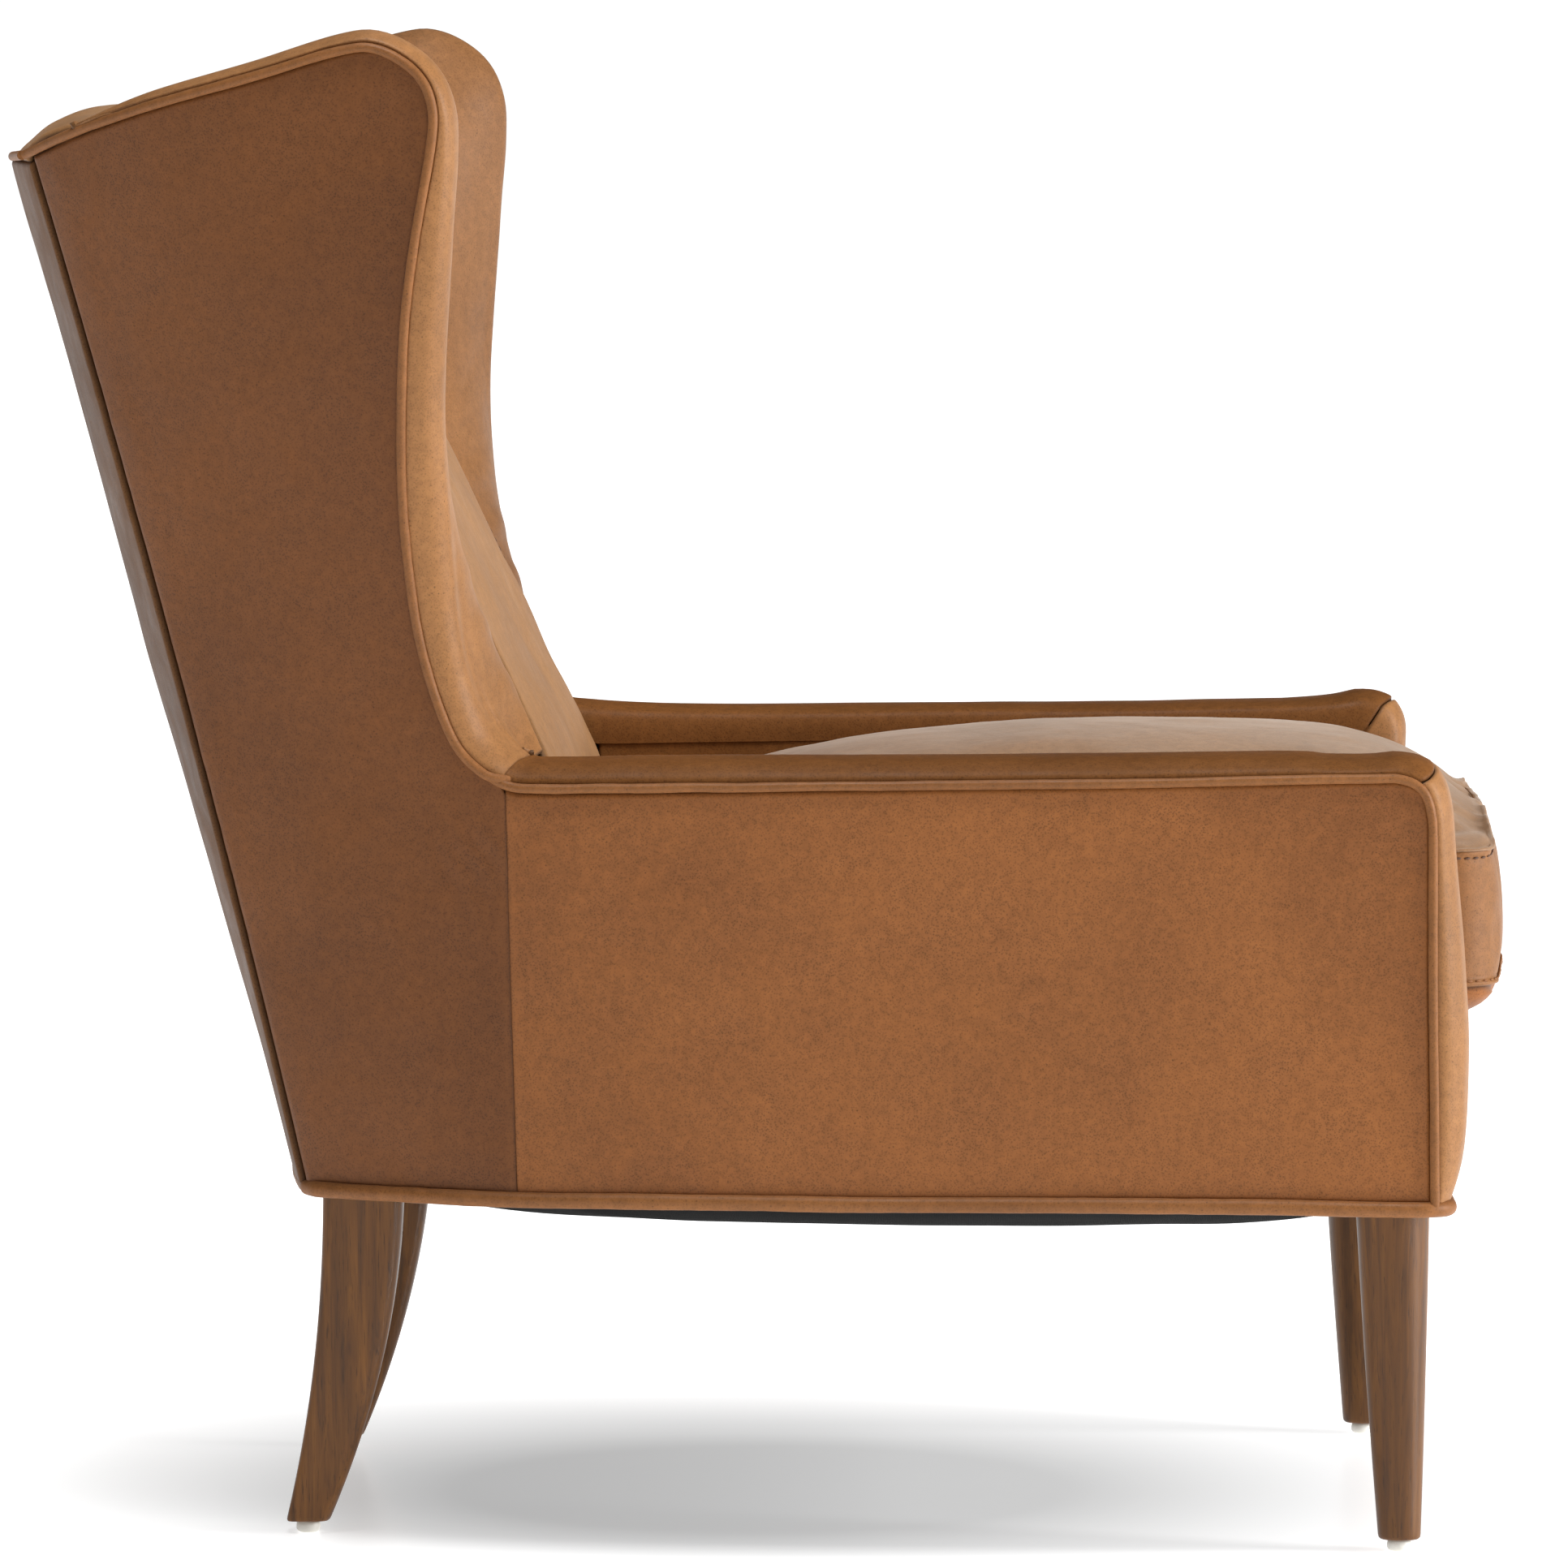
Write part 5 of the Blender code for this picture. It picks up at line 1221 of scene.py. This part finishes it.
def cushion_plan(angles, inset):
    """The plan outline: straight sides, round corners and a front that bulges."""
    half, turn = CUSHION_HALF - inset, CUSHION_TURN - inset
    front, rear = CUSHION_FRONT + inset, CUSHION_REAR - inset
    centre, length = (front + rear) / 2, (rear - front) / 2
    dx, dy = np.cos(angles), np.sin(angles)
    reach = np.minimum(half / np.maximum(np.abs(dx), 1e-9),
                       length / np.maximum(np.abs(dy), 1e-9))
    x, y = dx * reach, dy * reach
    over_x, over_y = np.abs(x) - (half - turn), np.abs(y) - (length - turn)
    corner = (over_x > 0) & (over_y > 0)
    scale = np.where(corner, turn / np.maximum(np.hypot(over_x, over_y), 1e-9), 1.0)
    x = np.where(corner, np.copysign(half - turn + over_x * scale, x), x)
    y = np.where(corner, np.copysign(length - turn + over_y * scale, y), y)
    bulge = CUSHION_NOSE * np.clip(-y / length, 0.0, 1.0) ** 3 * (1 - (x / half) ** 2)
    return x, centre + y - bulge


def high_seam(x, y):
    """The top seam rises towards the middle of the front, where the foam is fullest."""
    along = (1 - np.clip(np.abs(x) / 0.25, 0, 1) ** 2.5) * ease((-0.36 - y) / 0.08)
    return HIGH_SEAM_Z + 0.0170 * along


def cushion_rows(angles, levels_low, boxing, levels_high, inset=0.0, drop=0.0):
    """Rows of points from the middle of the bottom, up the boxing, to the middle of the top."""
    x, y = cushion_plan(angles, inset)
    seam = high_seam(x, y)
    set_back = 0.80 * (seam - HIGH_SEAM_Z)
    half, length = CUSHION_HALF - inset, (CUSHION_REAR - CUSHION_FRONT) / 2 - inset
    rows = []
    for k in levels_low:
        turned = min((1.0 - k) / 0.11, 1.0)
        py = CUSHION_MID_Y + (y - CUSHION_MID_Y) * k
        depth = (LOW_SEAM_Z - CUSHION_FOOT - drop) * (1.0 - 0.30 * ease((-0.395 - py) / 0.05))
        z = LOW_SEAM_Z - depth * math.sqrt(1 - (1 - turned) ** 2)
        rows.append((x * k, py, z * np.ones_like(x)))
    for t in boxing:
        rows.append((x, y + set_back * t ** 2, mix(LOW_SEAM_Z, seam, t)))
    for k in levels_high:
        px, py = x * k, CUSHION_MID_Y + (y + set_back - CUSHION_MID_Y) * k
        fall = 0.35 * np.maximum(py + 0.25, 0.0) ** 2
        dome = 1.0 - np.clip(np.abs(px) / half, 0.0, 1.0) ** 2.2
        edge = 1.0 - np.clip(np.abs(y - CUSHION_MID_Y) / length * k, 0.0, 1.0) ** 5.5
        rows.append((px, py, seam + (CROWN_Z - seam - drop - fall) * dome * edge))
    return np.stack([np.stack(r, -1) for r in rows])


def closed_rows(name, rows, materials, near=None, slots=None):
    """A closed body from rows of rings, with a point in the middle of each end."""
    count = rows.shape[1]
    hubs = np.stack([rows[0].mean(0), rows[-1].mean(0)])
    points = np.concatenate([rows.reshape(-1, 3), hubs])
    faces = [tuple(f) for f in grid_faces(len(rows), count, wrap=True)]
    k = np.arange(count)
    after = (k + 1) % count
    low, high, top = len(points) - 2, len(points) - 1, (len(rows) - 1) * count
    faces += [(low, int(b), int(a)) for a, b in zip(k, after)]
    faces += [(high, top + int(a), top + int(b)) for a, b in zip(k, after)]
    if near is not None:
        near = np.concatenate([near.ravel(), [0.0, 0.0]])
    return new_piece(name, points, faces, materials, near, slots)


# %% Blow the cushion up
SHRINK, CROWN_DROP, SWELL_CAP = 0.0045, 0.0050, 0.0085
REMESH_SIZE, SEAM_HOLD, SIM_FRAMES = 0.0058, 0.0045, 20


def simulated(start):
    """Remesh, hold the seams, inflate, cap the movement, and return points and faces."""
    bpy.context.view_layer.objects.active = start
    remesh = start.modifiers.new("even", "REMESH")
    remesh.mode, remesh.voxel_size = "VOXEL", REMESH_SIZE
    seen = bpy.context.evaluated_depsgraph_get()
    mesh = bpy.data.meshes.new_from_object(start.evaluated_get(seen), depsgraph=seen)
    start.modifiers.clear()
    start.data = mesh
    rest = np.array([v.co for v in mesh.vertices])
    x, y, z = rest.T
    plan_x, plan_y = cushion_plan(np.arctan2(y - (CUSHION_FRONT + CUSHION_REAR) / 2, x), SHRINK)
    edge = np.hypot(x - plan_x, y - plan_y) < 0.010
    on_seam = edge & ((np.abs(z - high_seam(x, y)) < SEAM_HOLD)
                      | (np.abs(z - LOW_SEAM_Z) < SEAM_HOLD))
    held = start.vertex_groups.new(name="seams")
    held.add([int(i) for i in np.flatnonzero(on_seam)], 1.0, "REPLACE")
    cloth = start.modifiers.new("cloth", "CLOTH")
    s = cloth.settings
    s.quality, s.mass = 6, 0.35
    s.use_pressure, s.uniform_pressure_force = True, 4.0
    s.tension_stiffness = s.compression_stiffness = 22.0
    s.bending_stiffness = 1.2
    s.shrink_min = s.shrink_max = -0.035
    s.vertex_group_mass = "seams"
    s.effector_weights.gravity = 0.0
    cloth.collision_settings.use_collision = False
    cloth.point_cache.frame_start, cloth.point_cache.frame_end = 1, SIM_FRAMES
    for number in range(1, SIM_FRAMES + 1):
        bpy.context.scene.frame_set(number)
    seen = bpy.context.evaluated_depsgraph_get()
    blown = start.evaluated_get(seen).to_mesh()
    after = np.array([v.co for v in blown.vertices])
    start.evaluated_get(seen).to_mesh_clear()
    start.modifiers.clear()
    bpy.context.scene.frame_set(1)
    move = after - rest
    size = np.linalg.norm(move, axis=1, keepdims=True)
    capped = move * (SWELL_CAP * np.tanh(size / SWELL_CAP) / np.maximum(size, 1e-9))
    print("cushion: %d points, moved up to %.1f mm" % (len(rest), 1000 * size.max()))
    return rest + capped, [tuple(p.vertices) for p in mesh.polygons]


rough_angles = np.linspace(0, 2 * math.pi, 120, endpoint=False)
start_rows = cushion_rows(rough_angles, np.linspace(0.06, 1.0, 14), np.linspace(0, 1, 9)[1:-1],
                          1.0 - np.linspace(0, 1, 18) ** 1.7 * 0.94, SHRINK, CROWN_DROP)
start = closed_rows("cushion_start", start_rows, [])
swollen, swollen_faces = simulated(start)
bpy.data.objects.remove(start)

# %% [markdown]
# ## A clean cover on the swollen cushion
# The clean mesh has rows packed beside both seams. Each of its points is carried outward
# along its own direction until it meets the simulated surface. Then the seams are pressed
# in, the top panel gets the small rolled lip that overlaps the boxing, and short puckers run
# square to the seams. The sides are pressed flat where they meet the arms.

# %% The cushion's cover
def laid_on(rows, points, faces):
    tree = BVHTree.FromPolygons(points.tolist(), faces)
    wrapped = np.concatenate([rows[:, -1:], rows, rows[:, :1]], axis=1)
    normal = normals_of(wrapped)[:, 1:-1]
    flat, direction = rows.reshape(-1, 3), normal.reshape(-1, 3)
    out = flat.copy()
    for index, (p, n) in enumerate(zip(flat, direction)):
        origin = Vector(p - n * 0.020)
        hit = tree.ray_cast(origin, Vector(n), 0.050)[0]
        if hit is None:
            hit = tree.find_nearest(Vector(p))[0]
        out[index] = hit
    return out.reshape(rows.shape), normal


fine_angles = np.linspace(0, 2 * math.pi, 520, endpoint=False)
low_levels = np.sort(1.0 - (1.0 - np.linspace(0.02, 1.0, 30)) ** 1.5)
high_levels = 1.0 - np.linspace(0.0, 1.0, 58) ** 1.75 * 0.98
boxing_steps = spaced(0.095, 0.0030, 0.0008, 0.010)[1:-1]
clean = cushion_rows(fine_angles, low_levels, boxing_steps, high_levels, SHRINK, CROWN_DROP)
on_cloth, outward = laid_on(clean, swollen, swollen_faces)
shaped = cushion_rows(fine_angles, low_levels, boxing_steps, high_levels)
off = ((on_cloth - shaped) * outward).sum(-1)
print("cloth to planned shape: %.1f to %.1f mm" % (1000 * off.min(), 1000 * off.max()))
off = -0.0010 + 0.0030 * np.tanh((off + 0.0010) / 0.0030)
on_cloth = shaped + outward * off[..., None]
for _ in range(2):
    on_cloth[1:-1] = 0.25 * on_cloth[:-2] + 0.5 * on_cloth[1:-1] + 0.25 * on_cloth[2:]
low_row = len(low_levels) - 1
high_row = low_row + len(boxing_steps) + 1
run = np.concatenate([np.zeros((1, on_cloth.shape[1])),
                      np.linalg.norm(np.diff(on_cloth, axis=0), axis=-1).cumsum(axis=0)])
near = np.zeros(run.shape)
push = np.zeros(run.shape)
for row, lip in ((low_row, 0.0022), (high_row, 0.0013)):
    d = run - run[row]
    seam_points = np.broadcast_to(on_cloth[row], on_cloth.shape)
    pucker = cloud(seam_points, 0.014, 70 + row) + 0.5 * cloud(seam_points, 0.007, 71 + row)
    push -= 0.0030 * np.exp(-(d / 0.0012) ** 2)
    push += lip * np.exp(-((d - 0.0032) / 0.0022) ** 2)
    push += 0.0006 * np.exp(-((d + 0.0032) / 0.0026) ** 2)
    push -= 0.0006 * np.exp(-((np.abs(d) - 0.0062) / 0.0012) ** 2)
    push += 0.00050 * pucker * np.exp(-np.abs(d) / 0.012) * ease(np.abs(d) / 0.0016)
    # near feeds the leather's painted seam shade and its worn edges along both cushion seams
    near = np.maximum(near, np.exp(-np.abs(d) / 0.0030))
push += 0.0008 * cloud(on_cloth, 0.05, 75) + 0.0003 * cloud(on_cloth, 0.018, 76)
cushion_rows_done = on_cloth + outward * push[..., None]
PRESS, SOFT = 0.2672, 0.003   # half the width between the arms, and how gently it stops
x = cushion_rows_done[..., 0]
over = np.maximum(np.abs(x) - (PRESS - SOFT), 0.0)
cushion_rows_done[..., 0] = np.sign(x) * (np.minimum(np.abs(x), PRESS - SOFT)
                                         + SOFT * np.tanh(over / SOFT))
cushion_rows_done[..., 2] = np.maximum(cushion_rows_done[..., 2], CUSHION_FOOT)
panel_of_row = np.concatenate([np.full(low_row, 2), np.full(high_row - low_row, 1),
                               np.full(len(clean) - 1 - high_row, 0)])
slots = np.repeat(panel_of_row, len(fine_angles))
slots = np.concatenate([slots, np.full(len(fine_angles), 2), np.full(len(fine_angles), 0)])
cushion = closed_rows("seat_cushion_cover", cushion_rows_done, [hide_seat, hide_boxing, hide_arm],
                      near, slots)
dressed_on(cushion, CUSHION, "leather_cushion", "cushion_core", "cushion_top_panel",
           "cushion_bottom_panel", "cushion_boxing")
size = cushion_rows_done.reshape(-1, 3)
print("cushion size:", np.round(size.max(0) - size.min(0), 3), "top z %.3f" % size[:, 2].max())

# %% [markdown]
# ## Cushion stitches and zip
# A line of stitches follows each seam on the boxing. The zip is on the rear of the boxing:
# a woven tape, and teeth that sit a little high and a little low by turns, set along the
# tape by the same kind of tree.

# %% Cushion stitches
def ring_at(row, offset):
    """The closed line that runs a distance above or below a seam on the boxing."""
    pick = np.argmin(np.abs(run - run[row] - offset), axis=0)
    line = cushion_rows_done[pick, np.arange(run.shape[1])]
    push_out = outward[pick, np.arange(run.shape[1])]
    for _ in range(4):
        line = 0.25 * np.roll(line, 1, 0) + 0.5 * line + 0.25 * np.roll(line, -1, 0)
    return line + push_out * 0.0010


for label, row, offset, thread in (("top", high_row, -0.0062, thread_brown),
                                   ("bottom", low_row, 0.0055, thread_gold)):
    sewn = grown(f"cushion_{label}_stitches", ring_at(row, offset), STITCH, closed=True,
                 Pitch=STITCH_PITCH, Finish=thread, Seed=8,
                 **{"Stitch Length": 0.0048, "Thread Radius": 0.00085})
    dressed_on(sewn, CUSHION, "leather_cushion")
    print(label, "stitches:", len(sewn.data.vertices) // 26)

# %% The zip on the cushion's rear
def zip_tree():
    tree, given, out = new_tree("zip teeth along a line", [
        ("Pitch", "NodeSocketFloat", 0.0024),
        ("Tooth", "NodeSocketVector", (0.0011, 0.001, 0.0022)),
        ("Rise", "NodeSocketFloat", 0.0011), ("Finish", "NodeSocketMaterial", None)])
    even = resampled(tree, given, "Pitch")
    tooth = node(tree, "GeometryNodeMeshCylinder",
                 {"Vertices": 8, "Radius": 0.5, "Depth": 1.0})
    lift = node(tree, "ShaderNodeMath", {0: node(tree, "GeometryNodeInputIndex").outputs[0],
                                         1: 2.0}, operation="MODULO")
    step = node(tree, "ShaderNodeMath", {0: lift.outputs[0], 1: 0.5}, operation="SUBTRACT")
    height = maths(tree, "MULTIPLY", step.outputs[0], given.outputs["Rise"])
    moved = node(tree, "GeometryNodeSetPosition", {
        "Geometry": node(tree, "GeometryNodeCurveToPoints", {"Curve": even},
                         mode="EVALUATED").outputs[0],
        "Offset": node(tree, "ShaderNodeCombineXYZ", {"Z": height}).outputs[0]})
    placed = node(tree, "GeometryNodeInstanceOnPoints",
                  {"Points": moved.outputs[0], "Instance": tooth.outputs[0],
                   "Scale": given.outputs["Tooth"]})
    return finished(tree, given, out, placed.outputs[0])


ZIP_Z, ZIP_HALF, ZIP_POINTS = 0.400, 0.170, 60
TAPE_HALF, TAPE_THICK = 0.0068, 0.0006


def rear_of_cushion(x, z):
    """The cushion's rear face at a place, as y."""
    points = cushion_rows_done.reshape(-1, 3)
    rear = points[points[:, 1] > 0.04]
    near_by = (rear[:, 0] - x) ** 2 + (rear[:, 2] - z) ** 2
    return rear[np.argmin(near_by), 1]


zx = np.linspace(-ZIP_HALF, ZIP_HALF, ZIP_POINTS)
zy = np.array([rear_of_cushion(x, ZIP_Z) for x in zx])
zy = np.convolve(np.pad(zy, 6, "edge"), np.ones(13) / 13, "valid")
tape_z = np.linspace(-TAPE_HALF, TAPE_HALF, 9)
tape_grid = np.stack(np.broadcast_arrays(-zx[None, :], zy[None, :] + 0.0010
                                         - 0.0005 * (tape_z[:, None] / TAPE_HALF) ** 2,
                                         ZIP_Z + tape_z[:, None]), -1)
tape = cover("cushion_zip_tape", tape_grid, np.zeros(tape_grid.shape[:2]), zip_tape,
             TAPE_THICK)
dressed_on(tape, CUSHION, "zip_tape", "cushion_zip")
teeth_line = np.stack([zx, zy + 0.0013, np.full(ZIP_POINTS, ZIP_Z)], -1)
teeth = grown("cushion_zip_teeth", teeth_line, zip_tree(), Finish=brass)
dressed_on(teeth, CUSHION, "steel")
print("zip teeth:", len(teeth.data.vertices) // 16)

# %% [markdown]
# ## Legs
# The front legs are turned: round, tapered, with a slight swell. A lathe is a ring of points
# repeated along a leaning line. The rear legs are cut from a board: square in section with
# softened corners, and swept rearward in a curve. Both are grids wrapped round and closed at
# the ends. The white nylon glides under them are turned too.

# %% Legs and glides
LEG_TOP_Z, LEG_FOOT_Z = 0.2320, 0.0080
FRONT_LEG_X, FRONT_LEG_Y = 0.274, -0.4075
BACK_LEG_X, BACK_GLIDE_Y = 0.200, 0.2858
LEG_SIDES, GLIDE_SIDES = 48, 32
LEG_STEPS = np.linspace(0.03, 1.0, 46)
GLIDE_PROFILE = [(0.0030, 0.0), (0.0052, 0.0001), (0.0068, 0.0009), (0.0077, 0.0024),
                 (0.0078, 0.0046), (0.0074, 0.0062), (0.0064, 0.0074), (0.0040, 0.0078)]


def ringed(name, rings, material):
    return closed_rows(name, np.array(rings), [material])


def turned_leg(sign):
    steps = np.concatenate([[0.0, 0.0, 0.004, 0.012], LEG_STEPS])
    angles = np.linspace(0, 2 * math.pi, LEG_SIDES, endpoint=False)
    rings = []
    for k, t in enumerate(steps):
        radius = mix(0.0134, 0.0237, t) + 0.0007 * math.sin(math.pi * t)
        if k < 3:
            radius -= (0.0040, 0.0012, 0.0003)[k]
        z = mix(LEG_FOOT_Z, LEG_TOP_Z, t)
        wobble = 1.0 + 0.004 * np.sin(3 * angles + 7 * t)
        rings.append(np.stack([sign * FRONT_LEG_X + radius * wobble * np.cos(angles),
                               FRONT_LEG_Y + 0.0055 * (z - 0.0082) / 0.2205
                               + radius * wobble * np.sin(angles), np.full(LEG_SIDES, z)], -1))
    return rings


def swept_leg(sign):
    steps = np.concatenate([[0.0, 0.0, 0.005, 0.015], LEG_STEPS])
    rings = []
    for k, t in enumerate(steps):
        drop = 1.0 - t
        z = mix(LEG_FOOT_Z, LEG_TOP_Z, t)
        front = 0.224 + 0.048 * drop ** 2.0
        rear = 0.275 + 0.0245 * drop ** 2.2
        half, arris = mix(0.020, 0.013, drop), mix(0.0060, 0.0040, drop)
        bevel = 2.0 * arris
        pull_in = (0.0030, 0.0010, 0.0002)[k] if k < 3 else 0.0
        half -= pull_in
        front, rear = front + pull_in, rear - pull_in
        ring = []
        for cx, cy, begin in ((half, rear, 0), (-half, rear, 90), (-half, front, 180),
                              (half, front, 270)):
            r = arris if cy == rear else bevel
            mx, my = math.copysign(half - r, cx), (rear - r if cy == rear else front + r)
            for a in np.radians(begin + np.linspace(0, 90, 7)):
                ring.append((sign * BACK_LEG_X + mx + r * math.cos(a), my + r * math.sin(a), z))
            nxt = {0: (-1, 0), 90: (0, -1), 180: (1, 0), 270: (0, 1)}[begin]
            span = 2 * (half - r) if nxt[0] else (rear - front - arris - bevel)
            last = ring[-1]
            ring += [(last[0] + nxt[0] * span * s, last[1] + nxt[1] * span * s, z)
                     for s in (0.25, 0.5, 0.75)]
        rings.append(np.array(ring))
    return rings


def glide_rings(x, y):
    angles = np.linspace(0, 2 * math.pi, GLIDE_SIDES, endpoint=False)
    return [np.stack([x + r * np.cos(angles), y + r * np.sin(angles),
                      np.full(GLIDE_SIDES, z)], -1) for r, z in GLIDE_PROFILE]


for side, sign in SIDES:
    leg = ringed("turned_front_leg_" + side, turned_leg(sign), walnut)
    dressed_on(leg, CHAIR, "walnut", "front_leg_" + side)
    leg = ringed("swept_back_leg_" + side, swept_leg(sign), walnut)
    dressed_on(leg, CHAIR, "walnut", "back_leg_" + side)
    for place, x, y in (("front", FRONT_LEG_X, FRONT_LEG_Y),
                        ("back", BACK_LEG_X, BACK_GLIDE_Y)):
        glide = ringed(f"{place}_nylon_glide_{side}", glide_rings(sign * x, y), nylon)
        dressed_on(glide, CHAIR, "nylon", f"{place}_glide_{side}")
print("legs and glides done")

# %% [markdown]
# ## The dust cover
# Thin black cloth is stapled under the seat to keep dust in, and it sags a little between
# the rails. It was cut flat to the frame's outline.
# Rings of points that shrink toward its middle follow the outline and take the sag.

# %% The dust cover
DUST_RIM = [(0.243, -0.412), (0.243, -0.374), (0.318, -0.370), (0.322, -0.100),
            (0.300, 0.120), (0.258, 0.200), (0.170, 0.212), (0.160, 0.262)]
DUST_Z, DUST_SAG, DUST_MID = 0.2222, 0.035, np.array([0.0, -0.120])
DUST_THICK, DUST_FLAT = 0.0006, (0.66, 0.69)


def dust_rings():
    half = np.array(DUST_RIM)
    rim = np.vstack([half, half[::-1] * np.array([-1.0, 1.0])])
    loop = np.vstack([rim, rim[:1]])
    total = run_of(loop)[-1]
    rim = place_on(loop, np.linspace(0, total, 301)[:-1])
    levels = np.concatenate([[1.0, 0.985, 0.965], np.linspace(0.94, 0.05, 26)])
    rows = []
    for level in levels:
        flat = DUST_MID + (rim - DUST_MID) * level
        at = np.column_stack([flat, np.zeros(len(flat))])
        sag = DUST_SAG * (1 - level ** 2) ** 0.75
        pulls = 0.0022 * np.exp(-(1 - level) / 0.10) * cloud(
            np.column_stack([rim, np.zeros(len(rim))]), 0.030, 81) * ease((1 - level) / 0.03)
        rows.append(np.column_stack([flat, DUST_Z - sag + pulls + 0.0012 * cloud(at, 0.08, 82)]))
    return np.array(rows)


rings = dust_rings()
upper = rings + np.array([0.0, 0.0, DUST_THICK])
dust = closed_rows("black_dust_cover", np.concatenate([rings[::-1], upper]), [dust_cloth])
dressed_on(dust, CHAIR, "black_cloth", "dust_cover")

# %% [markdown]
# ## What stays inside
# The boards, posts, springs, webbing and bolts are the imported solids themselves. They are
# never seen on a finished chair, but each still gets its own finish.

# %% Finishes for the frame
def finish_nodes(names, material):
    for name in names:
        obj = nodes[name]
        obj.data.materials.clear()
        obj.data.materials.append(material)


paired = ("wing_board", "back_post", "side_seat_rail", "arm_post", "arm_rail",
          "front_corner_block", "back_corner_block")
boards = [f"{part}_{side}" for part in paired for side, _ in SIDES]
boards += ["front_seat_rail", "back_seat_rail", "crest_rail", "lower_back_rail"]
finish_nodes(boards, beech_long)
finish_nodes([f"seat_spring_{k}" for k in range(1, 5)]
             + [f"leg_bolt_{side}" for side, _ in SIDES], steel)
finish_nodes(["back_webbing_1", "back_webbing_2"], jute)
print("frame pieces finished:", len(boards))

# %% [markdown]
# ## Floor, light and camera
# A pale floor that glows more with distance, so it ends without a line; its weaker glow near
# the chair is a painted shadow under it. A large soft light is in front of the chair and a
# smaller one above. The world is bright below and dark above.
# The camera looks square at the chair's right side, a long way off with a long lens.

# %% Floor, light and camera
scene = bpy.context.scene
FLOOR_GLOW_PAINTED_SHADOW, SKY_DIM = 0.32, 0.04
floor_material, tree, shader = new_material("studio_floor")
where = node(tree, "ShaderNodeTexCoord").outputs["Object"]
tree.links.new(ramp(tree, noise(tree, where, 2.0, 3.0), [(0.3, grey(0.80)), (0.7, grey(0.84))]),
               shader.inputs["Base Color"])
shader.inputs["Roughness"].default_value = 0.25
shader.inputs["Specular IOR Level"].default_value = 0.22
shader.inputs["Emission Color"].default_value = (1.0, 1.0, 1.0, 1.0)
# painted shadow: the floor's glow is weakest near the middle of the chair and rises outward
off_centre = node(tree, "ShaderNodeVectorMath", {0: where}, operation="LENGTH").outputs["Value"]
spread_out = maths(tree, "DIVIDE", off_centre, 2.0, clamp=True)
tree.links.new(ramp(tree, spread_out, [(0.10, grey(FLOOR_GLOW_PAINTED_SHADOW)), (0.27, grey(0.94)),
                                       (0.60, grey(1.0))]), shader.inputs["Emission Color"])
shader.inputs["Emission Strength"].default_value = 1.0
floor_points = np.array([(-30, -30, 0), (30, -30, 0), (30, 30, 0), (-30, 30, 0)], float)
floor = new_piece("studio_floor", floor_points, [(0, 1, 2, 3)], [floor_material])
floor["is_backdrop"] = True

world = bpy.data.worlds.new("studio")
world.use_nodes = True
tree = world.node_tree
height = node(tree, "ShaderNodeSeparateXYZ",
              {0: node(tree, "ShaderNodeTexCoord").outputs["Generated"]}).outputs["Z"]
cove = ramp(tree, maths(tree, "ADD", maths(tree, "MULTIPLY", height, 0.5), 0.5),
            [(0.0, grey(1.0)), (0.53, grey(1.0)), (0.57, grey(SKY_DIM)), (1.0, grey(SKY_DIM))])
tree.links.new(cove, tree.nodes["Background"].inputs["Color"])
tree.nodes["Background"].inputs["Strength"].default_value = 1.05
scene.world = world


def softbox(name, place, aim, width, height, power):
    light = bpy.data.lights.new(name, "AREA")
    light.shape, light.size, light.size_y, light.energy = "RECTANGLE", width, height, power
    obj = bpy.data.objects.new(name, light)
    obj.location = place
    obj.rotation_euler = (Vector(aim) - Vector(place)).to_track_quat("-Z", "Y").to_euler()
    scene.collection.objects.link(obj)
    obj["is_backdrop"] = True


softbox("key", (-0.85, -4.4, 1.5), (0.0, 0.0, 0.5), 1.8, 2.2, 230.0)
softbox("top", (-0.9, 0.0, 3.4), (0.1, 0.0, 0.0), 1.3, 1.2, 82.0)

YAW, PITCH = math.radians(0.7636), math.radians(4.2165)
camera_data = bpy.data.cameras.new("camera")
camera_data.lens, camera_data.sensor_width = 239.1, 36.0
camera = bpy.data.objects.new("camera", camera_data)
camera.location = (-6.7994, -0.1061, 0.966)
look = Vector((math.cos(YAW) * math.cos(PITCH), math.sin(YAW) * math.cos(PITCH),
               -math.sin(PITCH)))
camera.rotation_euler = look.to_track_quat("-Z", "Y").to_euler()
scene.collection.objects.link(camera)
scene.camera = camera
scene.view_settings.view_transform = "Standard"

# %% [markdown]
# ## Size
# Both boxes, the imported chair's and the dressed one's, are printed. The dressed chair must
# stay inside the imported one's box.

# %% Size of the dressed chair
visual_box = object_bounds()
for label, box in (("packed", cad_box), ("dressed", visual_box)):
    print(label, [round(float(v), 4) for corner in box for v in corner])
